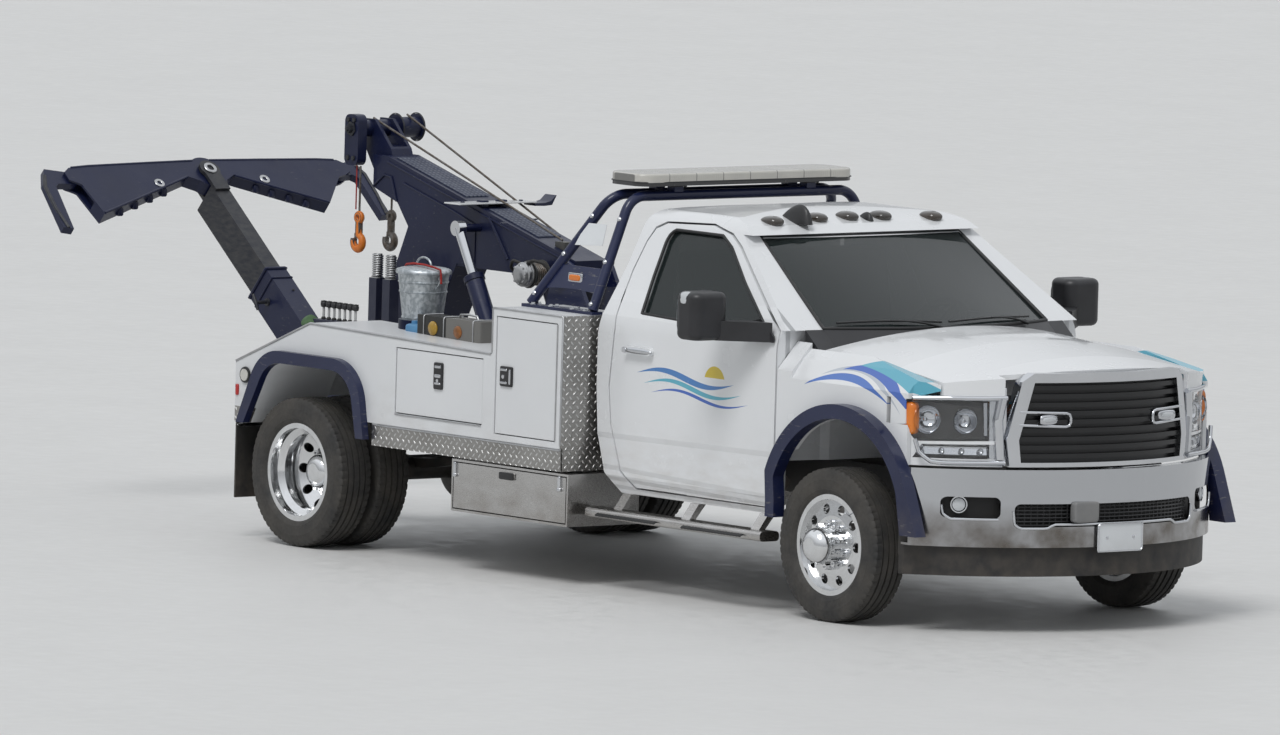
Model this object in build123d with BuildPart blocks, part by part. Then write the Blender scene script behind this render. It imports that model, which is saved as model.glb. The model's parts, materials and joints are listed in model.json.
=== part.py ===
from build123d import *
import os
from math import atan2, cos, degrees, hypot, radians, sin

os.makedirs("parts", exist_ok=True)

# Whole vehicle, in millimetres. Stations along the truck are measured forward from the rear axle,
# and the model's own origin lies on the ground under the middle of the whole length.
REAR_AXLE_X = -1400.0
WHEELBASE = 4280.0
WHEEL_Z = 400.0
GAP = 8.0
PIN_CLEARANCE = 0.5

# Wheels: 19.5 inch rims with 225 mm tyres, single in front and twin behind.
TYRE_RADIUS = 400.0
TYRE_WIDTH = 225.0
RIM_BEAD_RADIUS = 248.0
RIM_WALL = 12.0
FRONT_TYRE_Y = 961.0
REAR_OUTER_TYRE_Y = 1104.0
DUAL_SPACING = 255.0
HAND_HOLES = 10
HUB_RADIUS = 92.0
HUB_FLANGE_RADIUS = 150.0
LUG_NUTS = 10
LUG_CIRCLE_RADIUS = 112.0
LUG_RADIUS = 17.0
LUG_LENGTH = 52.0

# Chassis.
HAND_HOLE_CIRCLE = 190.0
HAND_HOLE_RADIUS = 26.0
CROSS_MEMBER_HEIGHT = 150.0
CROSS_MEMBER_WIDTH = 70.0
YOKE_HALF = 36.0
YOKE_EAR = 28.0
SPINDLE_RADIUS = 40.0
SPINDLE_LENGTH = 196.0
FRONT_SPRING_Y = 521.0
FRONT_SPRING_RADIUS = 62.0
FRONT_SPRING_TOP = 739.0
REAR_AXLE_END = 880.0
DIFFERENTIAL_RADIUS = 190.0
LEAF_REACH = 640.0
ENGINE_REAR = 3900.0
ENGINE_WIDTH = 640.0
ENGINE_LENGTH = 900.0
GEARBOX_REAR = 3000.0
SHAFT_REAR = 200.0
SHAFT_RISE = 180.0
SHAFT_RADIUS = 52.0
RAIL_Y = 410.0
RAIL_WIDTH = 80.0
RAIL_HEIGHT = 200.0
RAIL_WALL = 10.0
RAIL_BOTTOM = 560.0
RAIL_REAR = -590.0
RAIL_FRONT = 5060.0
AXLE_TUBE_RADIUS = 58.0
KINGPIN_Y = 770.0
KNUCKLE_HEIGHT = 190.0

# Cab.
ROOF_LIP_X = 3165.0
ROOF_LIP_Z = 1948.0
REAR_WINDOW_WIDTH = 1180.0
REAR_WINDOW_HEIGHT = 400.0
PANE_INSET = 22.0
MIRROR_X = 3450.0
MIRROR_Y = 1381.0
MIRROR_Z = 1523.0
MIRROR_WIDTH = 230.0
MIRROR_HEIGHT = 250.0
MIRROR_DEPTH = 186.0
MIRROR_ARM_LOW = 1398.0
MIRROR_ARM_TOP = 1500.0
STEERING_Y = 430.0
COLUMN_X = 3560.0
COLUMN_Z = 1270.0
COLUMN_LEAN = 26.0
COLUMN_LENGTH = 250.0
STEERING_RADIUS = 195.0
STEP_REAR = 2362.0
STEP_FRONT = 3804.0
STEP_Y = 1120.0
STEP_Z = 400.0
STEP_BRACKETS = (2560.0, 3120.0, 3690.0)
CAB_REAR = 2288.0
CAB_FLOOR = 790.0
FLOOR_WALL = 40.0
COWL_Z = 1445.0
CAB_BOTTOM = 507.0
CAB_HALF = 1012.0
BELT_Z = 1400.0
ROOF_HALF = 700.0
ROOF_TOP = 2010.0
CAB_WALL = 62.0
ROOF_WALL = 45.0
COWL_X = 3850.0
COWL_LOW = 1345.0
PILLAR_FOOT_Z = 1462.0
GLASS = 6.0
SCREEN_FOOT_Z = 1465.0
SCREEN_FOOT_SIDE_X = 3826.0
SCREEN_FOOT_CENTRE_X = 4020.0
SCREEN_FOOT_HALF = 759.0
SCREEN_TOP_Z = 1895.0
SCREEN_TOP_SIDE_X = 3193.0
SCREEN_TOP_CENTRE_X = 3235.0
SCREEN_TOP_HALF = 672.0
DOOR_TAPER = 2.5
SCREEN_OVERRUN = 12.0
SCREEN_SWEEP = 30.0
SCREEN_EDGE = 8.0
DOOR_HINGE_X = 3766.0

# Front end.
GRILLE_BARS = 9
GRILLE_BAR_PITCH = 44.0
GRILLE_BAR_HEIGHT = 24.0
NOSE_X = 5290.0
NOSE_SAGITTA = 444.0
NOSE_HALF = 980.0
NOSE_RADIUS = (NOSE_HALF ** 2 + NOSE_SAGITTA ** 2) / (2 * NOSE_SAGITTA)
NOSE_WIDE = 1005.0
NOSE_WIDE_SAGITTA = NOSE_RADIUS - (NOSE_RADIUS ** 2 - NOSE_WIDE ** 2) ** 0.5
NOSE_PANEL_TOP = 1200.0
BUMPER_X = 5340.0
BUMPER_SAGITTA = 470.0
BUMPER_HALF = 1012.0
BUMPER_DEPTH = 66.0
BUMPER_WALL = 12.0
PLATE_BOLTS = 177.8
PLATE_BOLT_Z = 500.0
PLATE_BOLT_RADIUS = 3.5
BUMPER_TOP = 852.0
BUMPER_BOTTOM = 452.0
VALANCE_BOTTOM = 300.0
GRILLE_TOP = 1345.0
GRILLE_BOTTOM = 862.0
FENDER_SKIN = 24.0
HOOD_SKIN = 26.0
HOOD_HALF = 872.0
FRONT_ARCH_X = WHEELBASE + 62.0
FRONT_ARCH_Z = 527.0
FRONT_ARCH_RADIUS = 530.0
FLARE_Y = 1085.0
FLARE_BAND = 75.0
ARCH_REAR_TURN = 21.0
ARCH_FRONT_TURN = 21.0
ARCH_REAR_KICK = 12.0
ARCH_FRONT_KICK = 40.0
FRONT_FLARE_LOW = 505.0
FRONT_FLARE_REAR_LOW = 589.0
GRILLE_HALF = 606.0
GRILLE_DEPTH = 60.0

# Wrecker body.
REAR_FLARE_DEPTH = 42.0
UNDER_BOX_RISE = 0.0
UNDER_BOX_DEPTH = 480.0
LID_GAP = 6.0
PYLON_FOOT_Y = 985.0
PYLON_CROWN_Y = 750.0
PYLON_CROWN_Z = 2032.0
PYLON_TUBE = 27.0
PYLON_BEND = 130.0
LIGHT_BAR_Z = 2086.0
LIGHT_BAR_DEPTH = 310.0
LIGHT_BAR_WIDTH = 1460.0
LIGHT_BAR_HEIGHT = 66.0
MUD_FLAP_X = -520.0
SIDE_MARKER_X = -440.0
SIDE_MARKER_Z = 885.0
LEVERS = 7
LEVER_REAR = -190.0
LEVER_PITCH = 46.0
LEVER_Y = 900.0
LEVER_FOOT = 1040.0
KNOB_Z = 1262.0
POST_TOP = 1376.0
POST_Y = -300.0
POSTS = (-497.0, -380.0)
BUCKET_X = 530.0
BUCKET_Y = -795.0
BUCKET_Z = 1250.0
BUCKET_BASE = 108.0
BUCKET_TOP = 138.0
BUCKET_HEIGHT = 250.0
BODY_HALF = 1219.0
BODY_WALL = 18.0
BODY_INNER = 745.0
BODY_BOTTOM = 722.0
BODY_REAR = -532.0
BODY_REAR_TOP = 956.0
BODY_PEAK_X = 106.0
BODY_PEAK_Z = 1208.0
BODY_FRONT_Z = 1174.0
TALL_REAR = 1662.0
TALL_FRONT = 2255.0
TALL_TOP = 1418.0
LIGHT_BAR_X = TALL_FRONT - 135.0
SKIRT_REAR = 650.0
SKIRT_BOTTOM = 602.0
SKIRT_INSET = 8.0
SKIRT_SHEET = 8.0
DECK_Z = 1000.0
LEG_SLOT_FRONT = -185.0
LEG_SLOT_HALF = 150.0
REAR_ARCH_X = 83.0
REAR_ARCH_HALF = 488.0
REAR_ARCH_TOP = 976.0
REAR_ARCH_REAR_LEAN = 190.0
REAR_ARCH_FRONT_LEAN = 75.0
REAR_ARCH_CORNER = 190.0
REAR_FLARE_LOW = 632.0
REAR_FLARE_BAND = 65.0
LOW_DOOR = (850.0, 790.0, 1592.0, 1142.0)
TALL_DOOR = (TALL_REAR + 33.0, 754.0, TALL_FRONT - 47.0, TALL_TOP - 41.0)
UNDER_BOX = (1320.0, 315.0, 2300.0, 590.0)
LID_THICKNESS = 22.0

# Lifting gear.
BOOM_PIN = 38.0
STINGER_PIN = 34.0
ROD_PIN = 22.0
WINCH_X = 725.0
WINCH_Z = 1490.0
BARREL_LENGTH = 425.0
ROD_LENGTH = 560.0
TUBE_LENGTH = 1342.0
CROSSBAR_HUB = 112.0
CROSSBAR_PIN = 36.0
BOOM_PIVOT_X = 900.0
BOOM_PIVOT_Z = 1500.0
BOOM_HALF = 108.0
LEG_FOOT_X = -850.0
LEG_FOOT_Z = 470.0
CYLINDER_Y = 250.0
CYLINDER_TOP = (131.0, 1690.0)
CYLINDER_FOOT = (478.0, 1075.0)
BARREL_RADIUS = 52.0
ROD_RADIUS = 27.0
EYE_HALF = 24.0
EAR_OFFSET = 68.0
EAR_THICKNESS = 20.0
CROSSBAR_X = -2428.0
CROSSBAR_Z = 1766.0
SLEEVE_HALF = 67.0
SLEEVE_FIT = 3.0
TUBE_TOP = -50.0
TUBE_BOTTOM = 138.0
TUBE_HALF = 52.0
SLEEVE_WALL = 12.0
SLEEVE_LENGTH = 1262.0
CROSSBAR_HALF = 40.0
CLAW_PIVOT_Y = 925.0
CLAW_EYE = 44.0
CLAW_PIN = 18.0
CLAW_HALF = 22.0


def side_plane(y):
    """Upright plane along the truck at y, drawn in station and height, facing the right side."""
    return Plane(origin=(REAR_AXLE_X, y, 0), x_dir=(1, 0, 0), z_dir=(0, -1, 0))


def level_plane(z):
    """Level plane at height z, drawn in station and y."""
    return Plane(origin=(REAR_AXLE_X, 0, z), x_dir=(1, 0, 0), z_dir=(0, 0, 1))


def cross_plane(x):
    """Upright plane across the truck at station x, drawn in y and height, facing forward."""
    return Plane(origin=(REAR_AXLE_X + x, 0, 0), x_dir=(0, 1, 0), z_dir=(1, 0, 0))


def place(x, y, z):
    """Point from station, y and height."""
    return Vector(REAR_AXLE_X + x, y, z)


def finish(piece, name):
    """Label a finished piece and write it to its own file."""
    piece.part.label = name
    export_step(piece.part, f"parts/{name}.step")


SIDES = (("left", 1), ("right", -1))


def axle_plane(station):
    """Level plane through an axle line, drawn in radius and y, for turning wheels."""
    return Plane(origin=(REAR_AXLE_X + station, 0, WHEEL_Z), x_dir=(1, 0, 0), z_dir=(0, 0, 1))


def axle_line(station):
    """Line across the truck through the wheel centres."""
    return Axis((REAR_AXLE_X + station, 0, WHEEL_Z), (0, 1, 0))


# Wheels. A tyre is a turned ring with rounded shoulders, hollow towards the rim.
BEAD_HALF = 84.0
DISC_WALL = 14.0
BEAD_FIT = 3.0


def tyre_section(plane, centre):
    """Half section of a tyre in radius and y, about the given centre y."""
    half = TYRE_WIDTH / 2
    bead = RIM_BEAD_RADIUS + BEAD_FIT
    with BuildSketch(plane) as section:
        with BuildLine():
            Polyline((bead, centre + BEAD_HALF - 26), (bead, centre + BEAD_HALF - 10),
                     (bead + 24, centre + BEAD_HALF))
            ThreePointArc((bead + 24, centre + BEAD_HALF), (bead + 78, centre + half),
                          (TYRE_RADIUS - 26, centre + half - 9))
            ThreePointArc((TYRE_RADIUS - 26, centre + half - 9), (TYRE_RADIUS - 7, centre + half - 18),
                          (TYRE_RADIUS, centre + half - 38))
            Line((TYRE_RADIUS, centre + half - 38), (TYRE_RADIUS, centre - half + 38))
            ThreePointArc((TYRE_RADIUS, centre - half + 38), (TYRE_RADIUS - 7, centre - half + 18),
                          (TYRE_RADIUS - 26, centre - half + 9))
            ThreePointArc((TYRE_RADIUS - 26, centre - half + 9), (bead + 78, centre - half),
                          (bead + 24, centre - BEAD_HALF))
            Polyline((bead + 24, centre - BEAD_HALF), (bead, centre - BEAD_HALF + 10),
                     (bead, centre - BEAD_HALF + 26), (bead + 30, centre - 40), (bead + 30, centre + 40),
                     (bead, centre + BEAD_HALF - 26))
        make_face()
    return section.sketch


def rim_section(plane, centre):
    """Half section of a rim: two lips, two bead ledges and the well between them."""
    lip = BEAD_HALF
    ledge = RIM_BEAD_RADIUS
    well = ledge - 32
    wall = RIM_WALL
    with BuildSketch(plane) as section:
        with BuildLine():
            Polyline(
                (ledge, centre + lip - 8), (ledge + 14, centre + lip + 1), (ledge + 14, centre + lip + 9),
                (ledge - wall, centre + lip + 9), (ledge - wall, centre + 44), (well - wall, centre + 20),
                (well - wall, centre - 20), (ledge - wall, centre - 44), (ledge - wall, centre - lip - 9),
                (ledge + 14, centre - lip - 9), (ledge + 14, centre - lip - 1), (ledge, centre - lip + 8),
                (ledge, centre - 40), (well, centre - 16), (well, centre + 16), (ledge, centre + 40),
                (ledge, centre + lip - 8),
            )
        make_face()
    return section.sketch


def disc_section(plane, side, face, edge):
    """Half section of a rim's disc: a cone from the mounting face out to the rim's inside."""
    reach = RIM_BEAD_RADIUS - RIM_WALL / 2
    with BuildSketch(plane) as section:
        with BuildLine():
            Polyline(
                (reach, side * edge), (reach, side * (edge - DISC_WALL)),
                (HUB_FLANGE_RADIUS, side * (face - DISC_WALL)),
                (HUB_RADIUS - 20, side * (face - DISC_WALL)), (HUB_RADIUS - 20, side * face),
                (HUB_FLANGE_RADIUS, side * face), (reach, side * edge),
            )
        make_face()
    return section.sketch


def cover_section(plane, side, face, nose):
    """Half section of the hub and its domed cover."""
    with BuildSketch(plane) as section:
        with BuildLine():
            Polyline((0, side * (face - 60)), (HUB_RADIUS - 6, side * (face - 60)),
                     (HUB_RADIUS, side * (face - 10)),
                     (HUB_RADIUS, side * (face + nose * 0.5)))
            ThreePointArc((HUB_RADIUS, side * (face + nose * 0.5)),
                          (HUB_RADIUS * 0.78, side * (face + nose * 0.9)),
                          (HUB_RADIUS * 0.45, side * (face + nose)))
            Polyline((HUB_RADIUS * 0.45, side * (face + nose)), (0, side * (face + nose)),
                     (0, side * (face - 60)))
        make_face()
    return section.sketch


def build_wheel(name, station, side, centres, discs, nose):
    """One wheel body: tyres and the rims that carry them, with the hub's cover and its nuts."""
    axis = axle_line(station)
    plane = axle_plane(station)
    with BuildPart() as tyre:
        for centre in centres:
            revolve(tyre_section(plane, side * centre), axis=axis, revolution_arc=360)
    finish(tyre, f"tyre_{name}")

    face = discs[0][0]
    with BuildPart() as rim:
        for centre in centres:
            revolve(rim_section(plane, side * centre), axis=axis, revolution_arc=360)
        for disc_face, disc_edge in discs:
            revolve(disc_section(plane, side, disc_face, disc_edge), axis=axis, revolution_arc=360)
            top = max(disc_face, disc_edge) + 5
            with BuildSketch(Plane(origin=place(station, side * top, WHEEL_Z), x_dir=(1, 0, 0),
                                   z_dir=(0, -side, 0))) as holes:
                with PolarLocations(HAND_HOLE_CIRCLE, HAND_HOLES):
                    Circle(HAND_HOLE_RADIUS)
            extrude(holes.sketch, amount=abs(disc_face - disc_edge) + DISC_WALL + 10, mode=Mode.SUBTRACT)
        revolve(cover_section(plane, side, face, nose), axis=axis, revolution_arc=360)
        with BuildSketch(Plane(origin=place(station, side * (face - 4), WHEEL_Z), x_dir=(1, 0, 0),
                               z_dir=(0, side, 0))) as lugs:
            with PolarLocations(LUG_CIRCLE_RADIUS, LUG_NUTS, start_angle=180 / LUG_NUTS):
                RegularPolygon(LUG_RADIUS, 6)
        extrude(lugs.sketch, amount=LUG_LENGTH)
    finish(rim, f"rim_{name}")


FRONT_DISCS = ((1033.0, 1021.0),)
REAR_DISCS = ((979.0, 1036.0), (965.0, 930.0))
REAR_TYRES = (REAR_OUTER_TYRE_Y, REAR_OUTER_TYRE_Y - DUAL_SPACING)
WHEELS = (
    # name, station, side, tyre centres from the outside in, disc faces and edges, length of the hub's cover
    ("front_left", WHEELBASE, 1, (FRONT_TYRE_Y,), FRONT_DISCS, 155.0),
    ("front_right", WHEELBASE, -1, (FRONT_TYRE_Y,), FRONT_DISCS, 155.0),
    ("rear_left", 0.0, 1, REAR_TYRES, REAR_DISCS, 116.0),
    ("rear_right", 0.0, -1, REAR_TYRES, REAR_DISCS, 116.0),
)
for wheel_name, station, side, centres, discs, nose in WHEELS:
    build_wheel(wheel_name, station, side, centres, discs, nose)


def shaft_plane():
    """Plane across the propeller shaft at its rear joint, facing forward along the shaft."""
    return Plane(origin=place(SHAFT_REAR, 0, WHEEL_Z + 30), x_dir=(0, 1, 0),
                 z_dir=(GEARBOX_REAR - SHAFT_REAR, 0, SHAFT_RISE))


# Chassis frame: two open channels joined by cross members, with the towing subframe behind.
CROSS_MEMBERS = (-330.0, 620.0, 1450.0, 2260.0, 2860.0, 5000.0)
with BuildPart() as frame:
    for name, side in SIDES:
        with BuildSketch(cross_plane(RAIL_REAR)) as channel:
            with Locations((side * RAIL_Y, RAIL_BOTTOM + RAIL_HEIGHT / 2)):
                Rectangle(RAIL_WIDTH, RAIL_HEIGHT)
            with Locations((side * (RAIL_Y - RAIL_WALL), RAIL_BOTTOM + RAIL_HEIGHT / 2)):
                Rectangle(RAIL_WIDTH, RAIL_HEIGHT - 2 * RAIL_WALL, mode=Mode.SUBTRACT)
        extrude(channel.sketch, amount=RAIL_FRONT - RAIL_REAR)
    for station in CROSS_MEMBERS:
        with BuildSketch(cross_plane(station)) as member:
            with Locations((0, RAIL_BOTTOM + RAIL_HEIGHT / 2)):
                Rectangle(2 * RAIL_Y + RAIL_WIDTH - RAIL_WALL, CROSS_MEMBER_HEIGHT)
        extrude(member.sketch, amount=CROSS_MEMBER_WIDTH / 2, both=True)
    for name, side in SIDES:
        with BuildSketch(level_plane(FRONT_SPRING_TOP + 1)) as perch:
            with Locations((WHEELBASE, side * (FRONT_SPRING_Y - 8))):
                Rectangle(160, 150)
        extrude(perch.sketch, amount=24)
    with BuildSketch(shaft_plane()) as tunnel:
        Circle(SHAFT_RADIUS + 22)
    extrude(tunnel.sketch, amount=GEARBOX_REAR - SHAFT_REAR, mode=Mode.SUBTRACT)
finish(frame, "chassis_frame")


# Axles, with the springs and links that carry them.
with BuildPart() as front_axle:
    with BuildSketch(side_plane(0)) as beam:
        with Locations((WHEELBASE, WHEEL_Z)):
            Circle(AXLE_TUBE_RADIUS)
    extrude(beam.sketch, amount=KINGPIN_Y - YOKE_HALF - 30, both=True)
    for name, side in SIDES:
        with BuildSketch(level_plane(WHEEL_Z)) as yoke_foot:
            with Locations((WHEELBASE, side * (KINGPIN_Y - 77))):
                Rectangle(84, 60)
        extrude(yoke_foot.sketch, amount=KNUCKLE_HEIGHT / 2 + YOKE_EAR, both=True)
        for level in (WHEEL_Z - KNUCKLE_HEIGHT / 2 - YOKE_EAR, WHEEL_Z + KNUCKLE_HEIGHT / 2 + 1):
            with BuildSketch(level_plane(level)) as ear:
                with Locations((WHEELBASE, side * KINGPIN_Y)):
                    Circle(42)
                with Locations((WHEELBASE, side * (KINGPIN_Y - 45))):
                    Rectangle(84, 124)
            extrude(ear.sketch, amount=YOKE_EAR - 1)
        with BuildSketch(level_plane(WHEEL_Z + 40)) as coil:
            with Locations((WHEELBASE, side * FRONT_SPRING_Y)):
                Circle(FRONT_SPRING_RADIUS)
        extrude(coil.sketch, amount=FRONT_SPRING_TOP - WHEEL_Z - 40)
        with BuildSketch(level_plane(WHEEL_Z)) as link:
            with Locations((WHEELBASE - 330, side * 330)):
                Rectangle(720, 46)
        extrude(link.sketch, amount=23, both=True)
finish(front_axle, "front_axle")

with BuildPart() as rear_axle:
    with BuildSketch(side_plane(0)) as beam:
        with Locations((0, WHEEL_Z)):
            Circle(AXLE_TUBE_RADIUS + 8)
    extrude(beam.sketch, amount=REAR_AXLE_END, both=True)
    with BuildSketch(side_plane(0)) as casing:
        with Locations((0, WHEEL_Z)):
            Circle(DIFFERENTIAL_RADIUS)
    extrude(casing.sketch, amount=120, both=True)
    fillet(rear_axle.edges().filter_by(GeomType.CIRCLE).group_by(SortBy.RADIUS)[-1], 60)
    for name, side in SIDES:
        with BuildSketch(side_plane(side * RAIL_Y)) as leaves:
            with BuildLine():
                ThreePointArc((-LEAF_REACH, 560), (0, 455), (LEAF_REACH, 560))
                Line((LEAF_REACH, 560), (LEAF_REACH, 530))
                ThreePointArc((LEAF_REACH, 530), (0, 405), (-LEAF_REACH, 530))
                Line((-LEAF_REACH, 530), (-LEAF_REACH, 560))
            make_face()
        extrude(leaves.sketch, amount=38, both=True)
finish(rear_axle, "rear_axle")


# Steering knuckles: a block that turns between the axle's yoke ears, with the stub that carries the wheel.
def build_knuckle(name, side):
    """Knuckle about its upright kingpin, with the spindle and the steering arm behind."""
    with BuildPart() as knuckle:
        with BuildSketch(level_plane(WHEEL_Z)) as block:
            with Locations((WHEELBASE, side * KINGPIN_Y)):
                Circle(YOKE_HALF)
        extrude(block.sketch, amount=KNUCKLE_HEIGHT / 2, both=True)
        with BuildSketch(side_plane(side * KINGPIN_Y)) as stub:
            with Locations((WHEELBASE, WHEEL_Z)):
                Circle(SPINDLE_RADIUS)
        extrude(stub.sketch, amount=-side * SPINDLE_LENGTH)
        with BuildSketch(level_plane(WHEEL_Z - 60)) as arm:
            with Locations((WHEELBASE - 95, side * (KINGPIN_Y + 8))):
                Rectangle(150, 34)
        extrude(arm.sketch, amount=24)
    finish(knuckle, f"knuckle_{name}")


for side_name, side in SIDES:
    build_knuckle(side_name, side)


# Engine and gearbox as one plain block at their real place, with the shaft running back to the axle.
with BuildPart() as engine:
    with BuildSketch(cross_plane(ENGINE_REAR)) as block:
        with Locations((0, 830)):
            Rectangle(ENGINE_WIDTH, 560)
    extrude(block.sketch, amount=ENGINE_LENGTH)
    with BuildSketch(cross_plane(GEARBOX_REAR)) as gearbox:
        with Locations((0, 610)):
            Circle(148)
    extrude(gearbox.sketch, amount=ENGINE_REAR - GEARBOX_REAR)
    with BuildSketch(shaft_plane()) as tube:
        Circle(SHAFT_RADIUS)
    extrude(tube.sketch, amount=hypot(GEARBOX_REAR - SHAFT_REAR, SHAFT_RISE) + 20)
finish(engine, "engine_and_shaft")


# Fuel tank on the left rail and the exhaust on the right, seen from below.
with BuildPart() as underbody:
    with BuildSketch(cross_plane(2420.0)) as tank:
        with Locations((640, 560)):
            RectangleRounded(290, 290, 50)
    extrude(tank.sketch, amount=1050)
    with BuildSketch(cross_plane(700.0)) as silencer:
        with Locations((-600, 620)):
            Circle(95)
    extrude(silencer.sketch, amount=560)
    with BuildSketch(cross_plane(1240.0)) as pipe:
        with Locations((-600, 620)):
            Circle(45)
    extrude(pipe.sketch, amount=2100)
finish(underbody, "tank_and_exhaust")


# Cab shell: one hollow form with sloping sides, cut for the doors, the windscreen and the rear window.
def cab_side(plane, inset, roof_inset):
    """Side outline of the cab, drawn in station and height, moved inwards by the given walls."""
    rear = CAB_REAR + inset
    with BuildSketch(plane) as section:
        with BuildLine():
            Polyline((2484 + inset, CAB_BOTTOM), (2372 + inset, 607), (2307 + inset, 808), (rear, 1053),
                     (rear, 1330), (rear + 62, 1700), (rear + 67, 1880 - roof_inset))
            ThreePointArc((rear + 67, 1880 - roof_inset), (rear + 98, 1958 - roof_inset),
                          (rear + 173, 1992 - roof_inset))
            ThreePointArc((rear + 173, 1992 - roof_inset), (2800, ROOF_TOP - roof_inset),
                          (ROOF_LIP_X, ROOF_LIP_Z - roof_inset))
            Polyline((ROOF_LIP_X, ROOF_LIP_Z - roof_inset), (3250, 1903 - roof_inset * 0.4),
                     (4250, 1520), (4250, CAB_BOTTOM), (2484 + inset, CAB_BOTTOM))
        make_face()
    return section.sketch


def cab_cross(plane, inset, roof_inset):
    """Cross outline of the cab, drawn in y and height: upright below the belt and leaning in above."""
    low = CAB_BOTTOM + inset
    half = CAB_HALF - inset
    top_half = ROOF_HALF - inset * 0.3
    top = ROOF_TOP - roof_inset
    with BuildSketch(plane) as section:
        with BuildLine():
            Polyline((0, low), (half - 30, low), (half, low + 90), (half, BELT_Z - 60))
            ThreePointArc((half, BELT_Z - 60), (half - 4, BELT_Z - 15), (half - 14, BELT_Z + 30))
            Line((half - 14, BELT_Z + 30), (top_half + 62, top - 90))
            ThreePointArc((top_half + 62, top - 90), (top_half + 22, top - 46), (top_half - 55, top - 26))
            ThreePointArc((top_half - 55, top - 26), (0, top), (-top_half + 55, top - 26))
            ThreePointArc((-top_half + 55, top - 26), (-top_half - 22, top - 46), (-top_half - 62, top - 90))
            Line((-top_half - 62, top - 90), (-half + 14, BELT_Z + 30))
            ThreePointArc((-half + 14, BELT_Z + 30), (-half + 4, BELT_Z - 15), (-half, BELT_Z - 60))
            Polyline((-half, BELT_Z - 60), (-half, low + 90), (-half + 30, low), (0, low))
        make_face()
    return section.sketch


def screen_plan(plane, back, half, side_x, centre_x):
    """Plan region ahead of the windscreen at one level: an arc across the glass and swept pillars."""
    wide = CAB_HALF + 40
    reach = 4900
    side = side_x - back
    with BuildSketch(plane) as section:
        with BuildLine():
            ThreePointArc((side, -half), (centre_x - back, 0), (side, half))
            Polyline((side, half), (side - SCREEN_SWEEP, wide), (reach, wide), (reach, -wide),
                     (side - SCREEN_SWEEP, -wide), (side, -half))
        make_face()
    return section.sketch


def screen_foot(plane, back):
    """Plan region ahead of the windscreen's foot."""
    return screen_plan(plane, back, SCREEN_FOOT_HALF, SCREEN_FOOT_SIDE_X, SCREEN_FOOT_CENTRE_X)


def screen_wedge(back):
    """Everything ahead of the windscreen surface, moved back by the given distance."""
    rise = (SCREEN_TOP_Z + SCREEN_OVERRUN - SCREEN_FOOT_Z) / (SCREEN_TOP_Z - SCREEN_FOOT_Z)
    side_x = SCREEN_FOOT_SIDE_X + (SCREEN_TOP_SIDE_X - SCREEN_FOOT_SIDE_X) * rise
    centre_x = SCREEN_FOOT_CENTRE_X + (SCREEN_TOP_CENTRE_X - SCREEN_FOOT_CENTRE_X) * rise
    foot = screen_foot(level_plane(SCREEN_FOOT_Z), back)
    top = screen_plan(level_plane(SCREEN_TOP_Z + SCREEN_OVERRUN), back, SCREEN_TOP_HALF, side_x, centre_x)
    with BuildPart() as wedge:
        loft(sections=[foot, top], ruled=True)
    return wedge.part


def cab_form(inset, roof_inset, back):
    """Solid cab form inside the given walls."""
    with BuildPart() as form:
        extrude(cab_side(side_plane(0), inset, roof_inset), amount=CAB_HALF + 20, both=True)
        cross = cab_cross(cross_plane(CAB_REAR - 50), inset, roof_inset)
        extrude(cross, amount=2400, mode=Mode.INTERSECT)
        extrude(screen_foot(level_plane(CAB_BOTTOM - 10), back), amount=SCREEN_FOOT_Z - CAB_BOTTOM + 10,
                mode=Mode.SUBTRACT)
        add(screen_wedge(back), mode=Mode.SUBTRACT)
    return form.part


def door_outline(plane, shrink):
    """Door outline in station and height, shrunk all round by the given gap."""
    with BuildSketch(plane) as section:
        with BuildLine():
            Polyline(
                (2613 + shrink, 535 + shrink), (2501 + shrink, 619 + shrink), (2412 + shrink, 860),
                (2388 + shrink, 1060), (2423 + shrink, 1367), (2407 + shrink, 1500), (2398 + shrink, 1665),
                (2415 + shrink, 1820), (2446 + shrink, 1900 - shrink), (2527 + shrink, 1937 - shrink),
                (2907, 1954 - shrink), (3085 - shrink, 1917 - shrink), (3198 - shrink, 1855 - shrink),
                (3402 - shrink, 1707 - shrink), (3630 - shrink, 1545 - shrink),
                (3757 - shrink, 1458 - shrink),
                (DOOR_HINGE_X - shrink, 1420), (DOOR_HINGE_X - shrink, 560 + shrink),
                (3730 - shrink, 535 + shrink), (2613 + shrink, 535 + shrink),
            )
        make_face()
    return section.sketch


def door_prism(side, shrink, wall):
    """Prism through the door outline that narrows inwards, and that ends at the wall below the belt."""
    with BuildPart() as prism:
        outline = door_outline(side_plane(side * (CAB_HALF + 20)), shrink)
        extrude(outline, amount=side * 460, taper=DOOR_TAPER)
        with BuildSketch(level_plane(CAB_BOTTOM)) as room_side:
            with Locations((3000, 0)):
                Rectangle(2200, 2 * (CAB_HALF - wall))
        extrude(room_side.sketch, amount=BELT_Z - 100 - CAB_BOTTOM, mode=Mode.SUBTRACT)
    return prism.part


def door_window(plane):
    """Window in the door, with its rear corner rounded and its front edge along the pillar."""
    with BuildSketch(plane) as section:
        with BuildLine():
            Polyline((2612, 1457), (2590, 1640), (2578, 1830), (2592, 1872), (2625, 1890), (3010, 1890),
                     (3120, 1835), (3335, 1668), (3690, 1425), (2612, 1457))
        make_face()
    return section.sketch


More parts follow.
